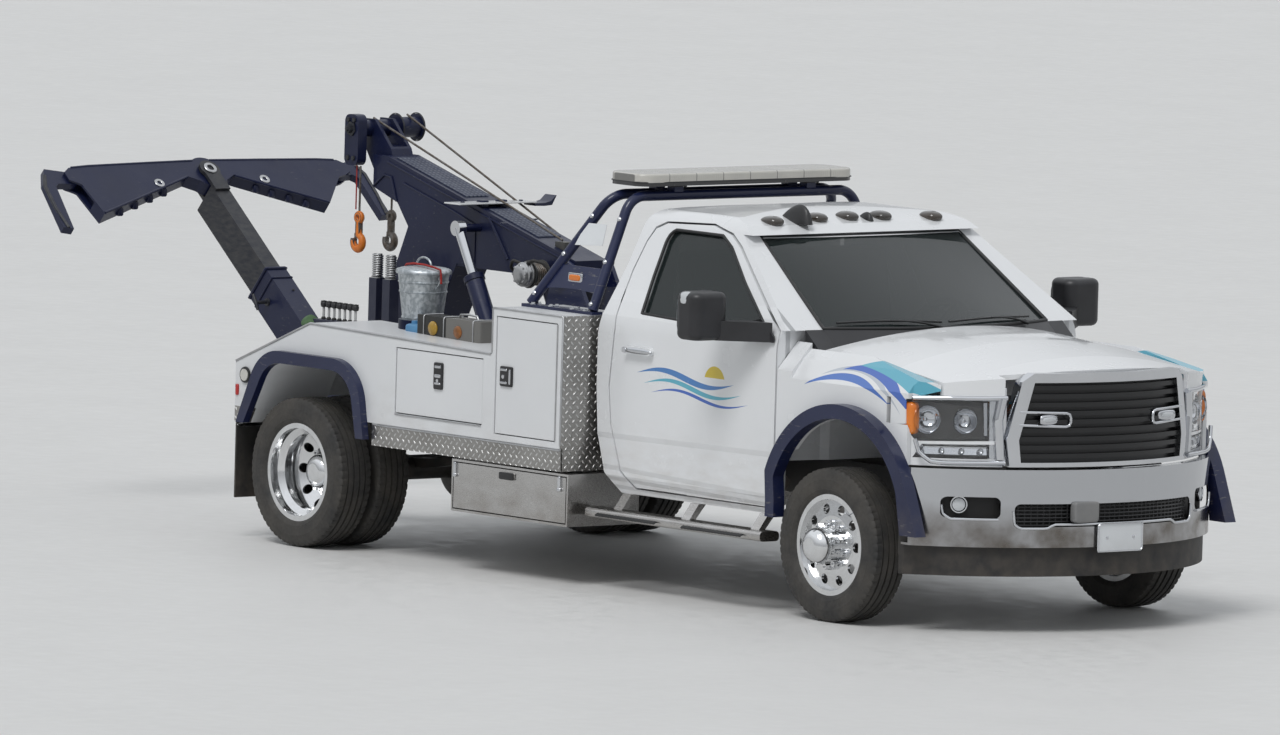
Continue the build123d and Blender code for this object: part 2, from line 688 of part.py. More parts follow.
def screen_opening(plane):
    """Windscreen opening seen from the front."""
    foot = SCREEN_FOOT_HALF - SCREEN_EDGE
    top = SCREEN_TOP_HALF - SCREEN_EDGE
    with BuildSketch(plane) as section:
        with BuildLine():
            Polyline((-foot, SCREEN_FOOT_Z + SCREEN_EDGE), (-top, SCREEN_TOP_Z - SCREEN_EDGE),
                     (top, SCREEN_TOP_Z - SCREEN_EDGE), (foot, SCREEN_FOOT_Z + SCREEN_EDGE),
                     (-foot, SCREEN_FOOT_Z + SCREEN_EDGE))
        make_face()
    return section.sketch


outer_form = cab_form(0, 0, 0)
inner_form = cab_form(CAB_WALL, ROOF_WALL, 60)
with BuildPart() as cab_skin:
    add(outer_form)
    add(inner_form, mode=Mode.SUBTRACT)
with BuildPart() as cab_cut:
    add(outer_form)
    with BuildPart(mode=Mode.PRIVATE) as room:
        add(inner_form)
        with BuildSketch(level_plane(CAB_FLOOR - 400)) as below:
            with Locations((3100, 0)):
                Rectangle(2600, 2200)
        extrude(below.sketch, amount=400 + FLOOR_WALL, mode=Mode.SUBTRACT)
        with BuildSketch(level_plane(CAB_FLOOR)) as ahead:
            with Locations((COWL_X - CAB_WALL + 500, 0)):
                Rectangle(1000, 2200)
        extrude(ahead.sketch, amount=COWL_Z - CAB_FLOOR, mode=Mode.SUBTRACT)
    add(room.part, mode=Mode.SUBTRACT)
    with BuildSketch(level_plane(CAB_BOTTOM - 1)) as underside:
        with Locations((3100, 0)):
            Rectangle(2600, 2 * (CAB_HALF - CAB_WALL))
    extrude(underside.sketch, amount=CAB_FLOOR - CAB_BOTTOM + 1, mode=Mode.SUBTRACT)
    with BuildSketch(level_plane(CAB_BOTTOM - 1)) as leg_room:
        with Locations((DOOR_HINGE_X + 6 + 500, 0)):
            Rectangle(1000, 2200)
    extrude(leg_room.sketch, amount=CAB_FLOOR - CAB_BOTTOM + 1, mode=Mode.SUBTRACT)
    with BuildSketch(level_plane(CAB_FLOOR - 1)) as engine_room:
        with Locations((COWL_X + 500, 0)):
            Rectangle(1000, 2200)
    extrude(engine_room.sketch, amount=COWL_Z - 90 - CAB_FLOOR, mode=Mode.SUBTRACT)
    for name, side in SIDES:
        for width, low, high in ((FENDER_SKIN + 6, CAB_BOTTOM - 1, 1440.0),
                                 (CAB_HALF - HOOD_HALF + 60, 1190.0, PILLAR_FOOT_Z)):
            with BuildSketch(level_plane(low)) as fender_room:
                with Locations((DOOR_HINGE_X + 2 + 500, side * (CAB_HALF - width / 2 + 20))):
                    Rectangle(1000, width + 40)
            extrude(fender_room.sketch, amount=high - low, mode=Mode.SUBTRACT)
        add(door_prism(side, -2, CAB_WALL + GAP), mode=Mode.SUBTRACT)
    extrude(screen_opening(cross_plane(3000.0)), amount=1300, mode=Mode.SUBTRACT)
    with BuildSketch(cross_plane(CAB_REAR - 40)) as rear_opening:
        with Locations((0, 1640)):
            RectangleRounded(REAR_WINDOW_WIDTH, REAR_WINDOW_HEIGHT, 60)
    extrude(rear_opening.sketch, amount=220, mode=Mode.SUBTRACT)
with BuildPart() as cab:
    add(cab_cut.solids().sort_by(SortBy.VOLUME)[-1])
finish(cab, "cab_shell")

with BuildPart() as cab_glass:
    add(screen_wedge(10 + GLASS))
    add(screen_wedge(10), mode=Mode.SUBTRACT)
    extrude(screen_opening(cross_plane(3000.0)), amount=1300, mode=Mode.INTERSECT)
    with BuildSketch(cross_plane(CAB_REAR + 24)) as rear_pane:
        with Locations((0, 1640)):
            RectangleRounded(REAR_WINDOW_WIDTH, REAR_WINDOW_HEIGHT, 60)
    extrude(rear_pane.sketch, amount=GLASS)
finish(cab_glass, "cab_glass")


def build_door(name, side):
    """Cab door: the cab's own skin inside the door outline, tapering inwards to clear the pillars."""
    with BuildPart() as door:
        add(door_prism(side, GAP, CAB_WALL))
        add(cab_skin.part, mode=Mode.INTERSECT)
        window = door_window(side_plane(side * (CAB_HALF + 20)))
        extrude(window, amount=side * 460, mode=Mode.SUBTRACT)
        with BuildSketch(side_plane(side * (CAB_HALF - 1))) as handle:
            with Locations((2650, 1265)):
                RectangleRounded(215, 42, 20)
        extrude(handle.sketch, amount=-side * 30)
    finish(door, f"door_{name}")
    pane_top = ROOF_HALF + 62
    with BuildPart() as glass:
        with BuildSketch(cross_plane(2500.0)) as sheet:
            with BuildLine():
                outer_low = CAB_HALF - 14 - PANE_INSET
                outer_high = pane_top - PANE_INSET
                Polyline((side * outer_low, BELT_Z + 30), (side * outer_high, ROOF_TOP - 90),
                         (side * (outer_high - GLASS), ROOF_TOP - 90),
                         (side * (outer_low - GLASS), BELT_Z + 30),
                         (side * outer_low, BELT_Z + 30))
            make_face()
        extrude(sheet.sketch, amount=1300)
        window = door_window(side_plane(0))
        extrude(window, amount=CAB_HALF + 20, both=True, mode=Mode.INTERSECT)
    finish(glass, f"door_glass_{name}")
    with BuildPart() as mirror:
        with BuildSketch(level_plane(MIRROR_Z - MIRROR_HEIGHT / 2)) as head:
            with Locations((MIRROR_X, side * (MIRROR_Y - MIRROR_WIDTH / 2))):
                RectangleRounded(MIRROR_DEPTH, MIRROR_WIDTH, 60)
        extrude(head.sketch, amount=MIRROR_HEIGHT)
        fillet(mirror.edges().group_by(Axis.Z)[-1], 34)
        fillet(mirror.edges().group_by(Axis.Z)[0], 34)
        with BuildSketch(level_plane(MIRROR_ARM_LOW)) as arm:
            with BuildLine():
                Polyline((3380, side * 1230), (3525, side * 1230), (3725, side * 1016), (3600, side * 1016),
                         (3380, side * 1230))
            make_face()
        extrude(arm.sketch, amount=MIRROR_ARM_TOP - MIRROR_ARM_LOW)
        with BuildSketch(side_plane(side * (CAB_HALF + 1))) as sail:
            with BuildLine():
                Polyline((3575, MIRROR_ARM_LOW), (3742, MIRROR_ARM_LOW), (3745, 1430), (3640, 1515),
                         (3575, 1500), (3575, MIRROR_ARM_LOW))
            make_face()
        extrude(sail.sketch, amount=-side * 12)
    finish(mirror, f"mirror_{name}")


for side_name, side in SIDES:
    build_door(side_name, side)


def column_plane(reach):
    """Plane across the steering column at a distance out of the dashboard, towards the driver."""
    lean = radians(COLUMN_LEAN)
    return Plane(origin=place(COLUMN_X - reach * cos(lean), STEERING_Y, COLUMN_Z + reach * sin(lean)),
                 x_dir=(0, 1, 0), z_dir=(-cos(lean), 0, sin(lean)))


# Seats, and the dashboard with the steering wheel on the left.
SEATS = (
    # y of the middle, width
    (-430.0, 500.0),
    (0.0, 320.0),
    (430.0, 500.0),
)
with BuildPart() as seats:
    with BuildSketch(level_plane(CAB_FLOOR + FLOOR_WALL)) as riser:
        with Locations((2830, 0)):
            Rectangle(460, 1360)
    extrude(riser.sketch, amount=200)
    for middle, width in SEATS:
        with BuildSketch(side_plane(middle)) as seat:
            with BuildLine():
                Polyline((2560, 1010), (3080, 1040), (3110, 1110), (3070, 1160), (2740, 1120))
                ThreePointArc((2740, 1120), (2660, 1440), (2610, 1750))
                Polyline((2610, 1750), (2540, 1770), (2500, 1730))
                ThreePointArc((2500, 1730), (2560, 1330), (2560, 1010))
            make_face()
        extrude(seat.sketch, amount=width / 2 - 14, both=True)
finish(seats, "seats")

DASHBOARD_GAP = 75.0
with BuildPart() as dashboard:
    with BuildSketch(side_plane(0)) as dash:
        with BuildLine():
            Polyline((3480, 1160), (3470, 1330), (3530, 1430), (3744, 1442), (3744, 1040), (3600, 1040),
                     (3480, 1160))
        make_face()
    extrude(dash.sketch, amount=CAB_HALF - CAB_WALL - DASHBOARD_GAP, both=True)
    with BuildSketch(column_plane(0)) as column:
        Circle(34)
    extrude(column.sketch, amount=COLUMN_LENGTH)
    with BuildSketch(column_plane(COLUMN_LENGTH)) as wheel:
        Circle(STEERING_RADIUS)
        Circle(STEERING_RADIUS - 30, mode=Mode.SUBTRACT)
        Circle(56)
        with PolarLocations(STEERING_RADIUS / 2, 3, start_angle=180):
            Rectangle(STEERING_RADIUS - 20, 42)
    extrude(wheel.sketch, amount=30)
finish(dashboard, "dashboard")


# Front clip: nose surfaces follow one arc in plan, and the panels behind it are thin and open below.
def nose_band(plane, front_x, sagitta, half, depth):
    """Plan band that follows the nose's arc, of the given depth."""
    with BuildSketch(plane) as section:
        with BuildLine():
            ThreePointArc((front_x - sagitta, -half), (front_x, 0), (front_x - sagitta, half))
            Line((front_x - sagitta, half), (front_x - sagitta - depth, half))
            ThreePointArc((front_x - sagitta - depth, half), (front_x - depth, 0),
                          (front_x - sagitta - depth, -half))
            Line((front_x - sagitta - depth, -half), (front_x - sagitta, -half))
        make_face()
    return section.sketch


HOOD_STATIONS = (
    # station, height at the middle, height at the seam
    (3930.0, 1494.0, 1376.0),
    (4580.0, 1452.0, 1334.0),
    (5000.0, 1402.0, 1280.0),
    (5290.0, 1340.0, 1222.0),
)
HOOD_REAR_CENTRE = 4085.0
HOOD_REAR_SIDE = 3975.0
HOOD_LIP_BOTTOM = 1208.0


def hood_section(plane, middle, seam, depth):
    """Cross section of the hood, an arc over a parallel arc the given depth below."""
    with BuildSketch(plane) as section:
        with BuildLine():
            ThreePointArc((-HOOD_HALF, seam), (0, middle), (HOOD_HALF, seam))
            Line((HOOD_HALF, seam), (HOOD_HALF, seam - depth))
            ThreePointArc((HOOD_HALF, seam - depth), (0, middle - depth), (-HOOD_HALF, seam - depth))
            Line((-HOOD_HALF, seam - depth), (-HOOD_HALF, seam))
        make_face()
    return section.sketch


def hood_form(depth):
    """Hood of the given depth, before its edges are trimmed in plan."""
    with BuildPart() as form:
        loft(sections=[hood_section(cross_plane(station), middle, seam, depth)
                       for station, middle, seam in HOOD_STATIONS], ruled=True)
    return form.part


def ahead_of_nose(back, half):
    """Plan region ahead of the nose's arc moved back by the given distance, as wide as asked."""
    arc_x = NOSE_X - back
    slope = NOSE_SAGITTA
    with BuildSketch(level_plane(200)) as section:
        with BuildLine():
            ThreePointArc((arc_x - slope, -NOSE_HALF), (arc_x, 0), (arc_x - slope, NOSE_HALF))
            Polyline((arc_x - slope, NOSE_HALF), (arc_x - slope, NOSE_HALF + 300), (5800, NOSE_HALF + 300),
                     (5800, -NOSE_HALF - 300), (arc_x - slope, -NOSE_HALF - 300), (arc_x - slope, -NOSE_HALF))
        make_face()
        with Locations((5000, 0)):
            Rectangle(2200, 2 * half, mode=Mode.INTERSECT)
    return section.sketch


def behind_hood(plane, back, half):
    """Plan region behind the hood's rear edge, moved back by the given distance."""
    with BuildSketch(plane) as section:
        with BuildLine():
            ThreePointArc((HOOD_REAR_SIDE - back, -half), (HOOD_REAR_CENTRE - back, 0),
                          (HOOD_REAR_SIDE - back, half))
            Polyline((HOOD_REAR_SIDE - back, half), (3700, half), (3700, -half),
                     (HOOD_REAR_SIDE - back, -half))
        make_face()
    return section.sketch


with BuildPart() as hood:
    add(hood_form(HOOD_SKIN))
    extrude(behind_hood(level_plane(1100), 0, HOOD_HALF + 5), amount=500, mode=Mode.SUBTRACT)
    with BuildPart(mode=Mode.PRIVATE) as lip:
        extrude(nose_band(level_plane(HOOD_LIP_BOTTOM), NOSE_X - 10, NOSE_SAGITTA, NOSE_HALF, 30), amount=260)
        with BuildSketch(level_plane(HOOD_LIP_BOTTOM - 1)) as between:
            Rectangle(20000, 2 * GRILLE_HALF + 2 * GAP)
        extrude(between.sketch, amount=300, mode=Mode.SUBTRACT)
        add(hood_form(420), mode=Mode.INTERSECT)
    add(lip.part)
    extrude(ahead_of_nose(10, 1400), amount=1600, mode=Mode.SUBTRACT)
    extrude(ahead_of_nose(GRILLE_DEPTH + 8, GRILLE_HALF + GAP), amount=1600, mode=Mode.SUBTRACT)
finish(hood, "hood")

# Cowl: the panel that slopes down from the windscreen's foot to the hood's rear edge.
with BuildPart() as cowl:
    extrude(screen_foot(level_plane(COWL_LOW), -1), amount=SCREEN_FOOT_Z - COWL_LOW)
    with BuildPart(mode=Mode.PRIVATE) as slope:
        loft(sections=[screen_foot(level_plane(COWL_LOW - 1), -150),
                       screen_foot(level_plane(SCREEN_FOOT_Z + 1), -3)],
             ruled=True)
    add(slope.part, mode=Mode.SUBTRACT)
    extrude(behind_hood(level_plane(COWL_LOW - 5), 12, HOOD_HALF - 2), amount=200, mode=Mode.INTERSECT)
finish(cowl, "cowl")


def front_arch(plane, band):
    """Front arch opening grown by the given band: one arc with legs that turn down at each end."""
    radius = FRONT_ARCH_RADIUS + band
    left = FRONT_ARCH_X - radius * cos(radians(ARCH_REAR_TURN))
    right = FRONT_ARCH_X + radius * cos(radians(ARCH_FRONT_TURN))
    left_z = FRONT_ARCH_Z + radius * sin(radians(ARCH_REAR_TURN))
    right_z = FRONT_ARCH_Z + radius * sin(radians(ARCH_FRONT_TURN))
    with BuildSketch(plane) as section:
        with BuildLine():
            ThreePointArc((left, left_z), (FRONT_ARCH_X, FRONT_ARCH_Z + radius), (right, right_z))
            Polyline((right, right_z), (right + ARCH_FRONT_KICK + band * 0.75, FRONT_FLARE_LOW),
                     (left + ARCH_REAR_KICK, FRONT_FLARE_LOW), (left + ARCH_REAR_KICK, FRONT_FLARE_REAR_LOW),
                     (left, left_z))
        make_face()
    return section.sketch


def fender_outline(plane):
    """Side outline of a front fender with the wheel arch cut away."""
    rear = DOOR_HINGE_X + 6
    with BuildSketch(plane) as section:
        with BuildLine():
            Polyline((rear, CAB_BOTTOM), (rear, 1455), (3850, 1448))
            ThreePointArc((3850, 1448), (4450, 1366), (4990, 1262))
            Polyline((4990, 1262), (4990, BUMPER_TOP + 8), (rear + 60, BUMPER_TOP + 8),
                     (rear + 60, CAB_BOTTOM),
                     (rear, CAB_BOTTOM))
        make_face()
        add(front_arch(Plane.XY, 0), mode=Mode.SUBTRACT)
    return section.sketch


def fender_form(side):
    """Front fender: outer skin and the shoulder that turns in to the hood's seam."""
    with BuildPart() as fender:
        extrude(fender_outline(side_plane(side * CAB_HALF)), amount=side * (CAB_HALF - HOOD_HALF - GAP))
        with BuildSketch(cross_plane(3700.0)) as hollow:
            with BuildLine():
                Polyline((side * (CAB_HALF - FENDER_SKIN), 400), (side * (CAB_HALF - FENDER_SKIN), 1205),
                         (side * (HOOD_HALF - 40), 1262), (side * (HOOD_HALF - 40), 400),
                         (side * (CAB_HALF - FENDER_SKIN), 400))
            make_face()
        extrude(hollow.sketch, amount=1500, mode=Mode.SUBTRACT)
        with BuildSketch(cross_plane(3700.0)) as shoulder:
            with BuildLine():
                Polyline((side * (CAB_HALF + 1), 1262), (side * (CAB_HALF + 1), 1600), (side * 820, 1600),
                         (side * 820, 1440), (side * (HOOD_HALF + GAP), 1405), (side * (CAB_HALF + 1), 1262))
            make_face()
        extrude(shoulder.sketch, amount=190, mode=Mode.SUBTRACT)
        with BuildSketch(cross_plane(3890.0)) as crown:
            with BuildLine():
                Polyline((side * (CAB_HALF + 1), 1225), (side * (CAB_HALF + 1), 1600), (side * 820, 1600),
                         (side * 820, 1400), (side * (HOOD_HALF + GAP), 1376),
                         (side * (HOOD_HALF + 60), 1330),
                         (side * (CAB_HALF + 1), 1225))
            make_face()
        extrude(crown.sketch, amount=1200, mode=Mode.SUBTRACT)
        extrude(ahead_of_nose(16, 1300), amount=1400, mode=Mode.SUBTRACT)
        with BuildPart(mode=Mode.PRIVATE) as nose_panel:
            extrude(nose_band(level_plane(BUMPER_TOP + GAP), NOSE_X - 16, NOSE_WIDE_SAGITTA, NOSE_WIDE,
                              FENDER_SKIN),
                    amount=NOSE_PANEL_TOP - BUMPER_TOP - GAP)
            with BuildSketch(level_plane(BUMPER_TOP)) as span:
                with Locations((4900, side * (GRILLE_HALF + GAP + NOSE_WIDE) / 2)):
                    Rectangle(1200, NOSE_WIDE - GRILLE_HALF - GAP)
            extrude(span.sketch, amount=500, mode=Mode.INTERSECT)
        add(nose_panel.part)
        extrude(headlamp_face(cross_plane(4660.0), side, 5), amount=600, mode=Mode.SUBTRACT)
        extrude(strip_lamp_face(cross_plane(4660.0), side, 5), amount=600, mode=Mode.SUBTRACT)
    return fender.part


def headlamp_face(plane, side, grow):
    """Headlamp seen from the front, grown by a gap."""
    with BuildSketch(plane) as section:
        with BuildLine():
            Polyline((side * (622 - grow), 1000 - grow), (side * (620 - grow), 1120),
                     (side * (620 - grow), 1200 + grow),
                     (side * (1002 + 3 * grow), 1195 + grow), (side * (1002 + 3 * grow), 1080 - grow),
                     (side * (962 + grow), 990 - grow), (side * (622 - grow), 1000 - grow))
        make_face()
    return section.sketch


def strip_lamp_face(plane, side, grow):
    """Low strip lamp under the headlamp seen from the front, grown by a gap."""
    with BuildSketch(plane) as section:
        with BuildLine():
            Polyline((side * (622 - grow), 905 - grow), (side * (622 - grow), 972 + grow),
                     (side * (940 + grow), 966 + grow), (side * (972 + grow), 905 - grow),
                     (side * (622 - grow), 905 - grow))
        make_face()
    return section.sketch


with BuildPart() as fenders:
    for name, side in SIDES:
        add(fender_form(side))
finish(fenders, "front_fenders")


def rear_arch(plane, band):
    """Rear arch opening, a flattened arch with round shoulders, grown by the given band."""
    half = REAR_ARCH_HALF + band
    top = REAR_ARCH_TOP + band
    with BuildSketch(plane) as section:
        with BuildLine():
            FilletPolyline((REAR_ARCH_X - half, REAR_FLARE_LOW),
                           (REAR_ARCH_X - half + REAR_ARCH_REAR_LEAN, top),
                           (REAR_ARCH_X + half - REAR_ARCH_FRONT_LEAN, top),
                           (REAR_ARCH_X + half, REAR_FLARE_LOW),
                           radius=REAR_ARCH_CORNER + band)
            Line((REAR_ARCH_X + half, REAR_FLARE_LOW), (REAR_ARCH_X - half, REAR_FLARE_LOW))
        make_face()
    return section.sketch


with BuildPart() as flares:
    for name, side in SIDES:
        with BuildPart(mode=Mode.PRIVATE) as front_flare:
            extrude(front_arch(side_plane(side * CAB_HALF), FLARE_BAND), amount=-side * (FLARE_Y - CAB_HALF))
            extrude(front_arch(side_plane(side * CAB_HALF), 0), amount=-side * (FLARE_Y - CAB_HALF),
                    mode=Mode.SUBTRACT)
        add(front_flare.part)
        rear = rear_arch(side_plane(side * BODY_HALF), REAR_FLARE_BAND)
        opening = rear_arch(side_plane(side * BODY_HALF), 0)
        with BuildPart(mode=Mode.PRIVATE) as rear_flare:
            extrude(rear, amount=-side * REAR_FLARE_DEPTH)
            extrude(opening, amount=-side * REAR_FLARE_DEPTH, mode=Mode.SUBTRACT)
        add(rear_flare.part)
finish(flares, "wheel_arch_flares")


# Grille: a chrome surround with dark horizontal bars set into it.
def grille_opening(plane):
    """Grille opening seen from the front."""
    with BuildSketch(plane) as section:
        with BuildLine():
            Polyline((-536, 885), (-548, 1000), (-478, 1296), (478, 1296), (548, 1000), (536, 885),
                     (-536, 885))
        make_face()
    return section.sketch


with BuildPart() as grille:
    band = nose_band(level_plane(GRILLE_BOTTOM), NOSE_X, NOSE_SAGITTA, NOSE_HALF, GRILLE_DEPTH)
    extrude(band, amount=GRILLE_TOP - GRILLE_BOTTOM)
    with BuildSketch(cross_plane(4700.0)) as face:
        with BuildLine():
            Polyline((-590, GRILLE_BOTTOM), (-GRILLE_HALF, 1000), (-540, 1300), (-480, GRILLE_TOP),
                     (480, GRILLE_TOP), (540, 1300), (GRILLE_HALF, 1000), (590, GRILLE_BOTTOM),
                     (-590, GRILLE_BOTTOM))
        make_face()
    extrude(face.sketch, amount=700, mode=Mode.INTERSECT)
    opening = grille_opening(cross_plane(4700.0))
    extrude(opening, amount=700, mode=Mode.SUBTRACT)
finish(grille, "grille_surround")

with BuildPart() as bars:
    for index in range(GRILLE_BARS):
        level = 905 + index * GRILLE_BAR_PITCH
        bar = nose_band(level_plane(level), NOSE_X - 18, NOSE_SAGITTA, NOSE_HALF, 30)
        extrude(bar, amount=GRILLE_BAR_HEIGHT)
    backing = nose_band(level_plane(885), NOSE_X - 48, NOSE_SAGITTA, NOSE_HALF, 8)
    extrude(backing, amount=411)
    opening = grille_opening(cross_plane(4700.0))
    extrude(opening, amount=700, mode=Mode.INTERSECT)
finish(bars, "grille_bars")

with BuildPart() as headlamps:
    extrude(nose_band(level_plane(900), NOSE_X - 14, NOSE_SAGITTA, NOSE_HALF, 110), amount=315)
    with BuildPart(mode=Mode.PRIVATE) as faces:
        for name, side in SIDES:
            extrude(headlamp_face(cross_plane(4500.0), side, 0), amount=900)
            extrude(strip_lamp_face(cross_plane(4500.0), side, 0), amount=900)
    add(faces.part, mode=Mode.INTERSECT)
finish(headlamps, "headlamps")

with BuildPart() as bumper:
    band = nose_band(level_plane(BUMPER_BOTTOM), BUMPER_X, BUMPER_SAGITTA, BUMPER_HALF, BUMPER_DEPTH)
    extrude(band, amount=BUMPER_TOP - BUMPER_BOTTOM)
    channel = nose_band(level_plane(BUMPER_BOTTOM + BUMPER_WALL), BUMPER_X - BUMPER_WALL, BUMPER_SAGITTA,
                        BUMPER_HALF,
                        BUMPER_DEPTH)
    extrude(channel, amount=BUMPER_TOP - BUMPER_BOTTOM - 2 * BUMPER_WALL, mode=Mode.SUBTRACT)
    with BuildSketch(cross_plane(BUMPER_X - 90)) as plate_bolts:
        with Locations((PLATE_BOLTS / 2, PLATE_BOLT_Z), (-PLATE_BOLTS / 2, PLATE_BOLT_Z)):
            Circle(PLATE_BOLT_RADIUS)
    extrude(plate_bolts.sketch, amount=100, mode=Mode.SUBTRACT)
    with BuildSketch(cross_plane(4700.0)) as recesses:
        with Locations((0, 618)):
            RectangleRounded(1180, 118, 30)
        with Locations((-780, 655), (780, 655)):
            RectangleRounded(250, 110, 30)
    extrude(recesses.sketch, amount=800, mode=Mode.SUBTRACT)
finish(bumper, "front_bumper")

with BuildPart() as valance:
    band = nose_band(level_plane(VALANCE_BOTTOM), BUMPER_X - 40, BUMPER_SAGITTA, BUMPER_HALF, 40)
    extrude(band, amount=BUMPER_BOTTOM - VALANCE_BOTTOM)
    mesh = nose_band(level_plane(VALANCE_BOTTOM + 100), BUMPER_X - 72, BUMPER_SAGITTA, BUMPER_HALF, 14)
    extrude(mesh, amount=720 - VALANCE_BOTTOM - 100)
finish(valance, "front_valance")

with BuildPart() as steps:
    for name, side in SIDES:
        with BuildSketch(cross_plane(STEP_REAR)) as tread:
            with Locations((side * (STEP_Y - 60), STEP_Z)):
                RectangleRounded(130, 52, 22)
        extrude(tread.sketch, amount=STEP_FRONT - STEP_REAR)
        for station in STEP_BRACKETS:
            with BuildSketch(cross_plane(station)) as bracket:
                with BuildLine():
                    Polyline((side * 955, CAB_BOTTOM), (side * 1005, CAB_BOTTOM),
                             (side * (STEP_Y - 50), STEP_Z + 20),
                             (side * (STEP_Y - 90), STEP_Z + 20), (side * 955, CAB_BOTTOM))
                make_face()
            extrude(bracket.sketch, amount=34, both=True)
finish(steps, "running_boards")


# Wrecker body: two side boxes of sheet walls joined by the deck, with wheel wells, lockers and skirts.
def body_outline(plane, drop):
    """Side outline of the low box and tall box, in station and height, moved in by the given wall."""
    with BuildSketch(plane) as section:
        with BuildLine():
            Polyline(
                (BODY_REAR + drop, REAR_FLARE_LOW + drop), (BODY_REAR + drop, BODY_REAR_TOP - drop),
                (BODY_PEAK_X, BODY_PEAK_Z - drop), (TALL_REAR + drop, BODY_FRONT_Z - drop),
                (TALL_REAR + drop, TALL_TOP - drop), (TALL_FRONT - drop, TALL_TOP - drop),
                (TALL_FRONT - drop, BODY_BOTTOM + drop), (REAR_ARCH_X, BODY_BOTTOM + drop),
                (REAR_ARCH_X, REAR_FLARE_LOW + drop), (BODY_REAR + drop, REAR_FLARE_LOW + drop),
            )
        make_face()
    return section.sketch


with BuildPart() as side_boxes:
    for name, side in SIDES:
        outline = body_outline(side_plane(side * BODY_HALF), 0)
        extrude(outline, amount=side * (BODY_HALF - BODY_INNER))

with BuildPart() as body:
    add(side_boxes.part)
    with BuildSketch(level_plane(DECK_Z - 40)) as deck:
        with Locations(((BODY_REAR + TALL_FRONT) / 2, 0)):
            Rectangle(TALL_FRONT - BODY_REAR, 2 * BODY_INNER + 2)
    extrude(deck.sketch, amount=40)
    for station in (-430.0, 700.0, 1500.0, TALL_FRONT - 135.0):
        with BuildSketch(cross_plane(station)) as bearer:
            with Locations((0, (RAIL_BOTTOM + RAIL_HEIGHT + DECK_Z - 40) / 2)):
                Rectangle(2 * BODY_INNER + 2, DECK_Z - 40 - RAIL_BOTTOM - RAIL_HEIGHT)
        extrude(bearer.sketch, amount=30, both=True)
    with BuildSketch(level_plane(DECK_Z - 45)) as leg_slot:
        with Locations(((BODY_REAR + LEG_SLOT_FRONT) / 2 - 20, 0)):
            Rectangle(LEG_SLOT_FRONT - BODY_REAR + 40, 2 * LEG_SLOT_HALF)
    extrude(leg_slot.sketch, amount=60, mode=Mode.SUBTRACT)
    with BuildSketch(level_plane(RAIL_BOTTOM + RAIL_HEIGHT)) as bearer_slot:
        with Locations((BODY_REAR, 0)):
            Rectangle(2 * (LEG_SLOT_FRONT - BODY_REAR), 2 * LEG_SLOT_HALF)
    extrude(bearer_slot.sketch, amount=DECK_Z - RAIL_BOTTOM - RAIL_HEIGHT, mode=Mode.SUBTRACT)
    wells = rear_arch(side_plane(0), 0)
    extrude(wells, amount=BODY_HALF + 10, both=True, mode=Mode.SUBTRACT)
    for name, side in SIDES:
        with BuildSketch(side_plane(side * (BODY_HALF - BODY_WALL - LID_THICKNESS))) as lockers:
            with Locations(((700 + TALL_REAR) / 2 - 9, (760 + BODY_FRONT_Z - 30) / 2)):
                Rectangle(TALL_REAR - 700 - 22, BODY_FRONT_Z - 30 - 760)
            with Locations(((TALL_REAR + TALL_FRONT) / 2, (742 + TALL_TOP - BODY_WALL) / 2)):
                Rectangle(TALL_FRONT - TALL_REAR - 2 * BODY_WALL, TALL_TOP - BODY_WALL - 742)
        extrude(lockers.sketch, amount=side * (BODY_HALF - BODY_INNER - 2 * BODY_WALL - LID_THICKNESS),
                mode=Mode.SUBTRACT)
        for low_x, low_z, high_x, high_z in (LOW_DOOR, TALL_DOOR):
            with BuildSketch(side_plane(side * (BODY_HALF + 5))) as mouth:
                with Locations(((low_x + high_x) / 2, (low_z + high_z) / 2)):
                    Rectangle(high_x - low_x, high_z - low_z)
            extrude(mouth.sketch, amount=side * (BODY_WALL + LID_THICKNESS + 10), mode=Mode.SUBTRACT)
        with BuildSketch(side_plane(side * (BODY_HALF - SKIRT_INSET))) as skirt:
            with Locations(((SKIRT_REAR + TALL_FRONT) / 2, (SKIRT_BOTTOM + BODY_BOTTOM + 10) / 2)):
                Rectangle(TALL_FRONT - SKIRT_REAR, BODY_BOTTOM + 10 - SKIRT_BOTTOM)
        extrude(skirt.sketch, amount=side * SKIRT_SHEET)
finish(body, "wrecker_body")

with BuildPart() as under_boxes:
    low_x, low_z, high_x, high_z = UNDER_BOX
    for name, side in SIDES:
        with BuildSketch(side_plane(side * (BODY_HALF - 25))) as box:
            with Locations(((low_x + high_x) / 2, (low_z + high_z + UNDER_BOX_RISE) / 2)):
                Rectangle(high_x - low_x, high_z - low_z + UNDER_BOX_RISE)
        extrude(box.sketch, amount=side * UNDER_BOX_DEPTH)
        with BuildSketch(side_plane(side * (BODY_HALF - 20))) as hollow:
            with Locations(((low_x + high_x) / 2, (low_z + high_z) / 2)):
                Rectangle(high_x - low_x - 24, high_z - low_z - 24)
        extrude(hollow.sketch, amount=side * (UNDER_BOX_DEPTH - 10), mode=Mode.SUBTRACT)
finish(under_boxes, "under_boxes")


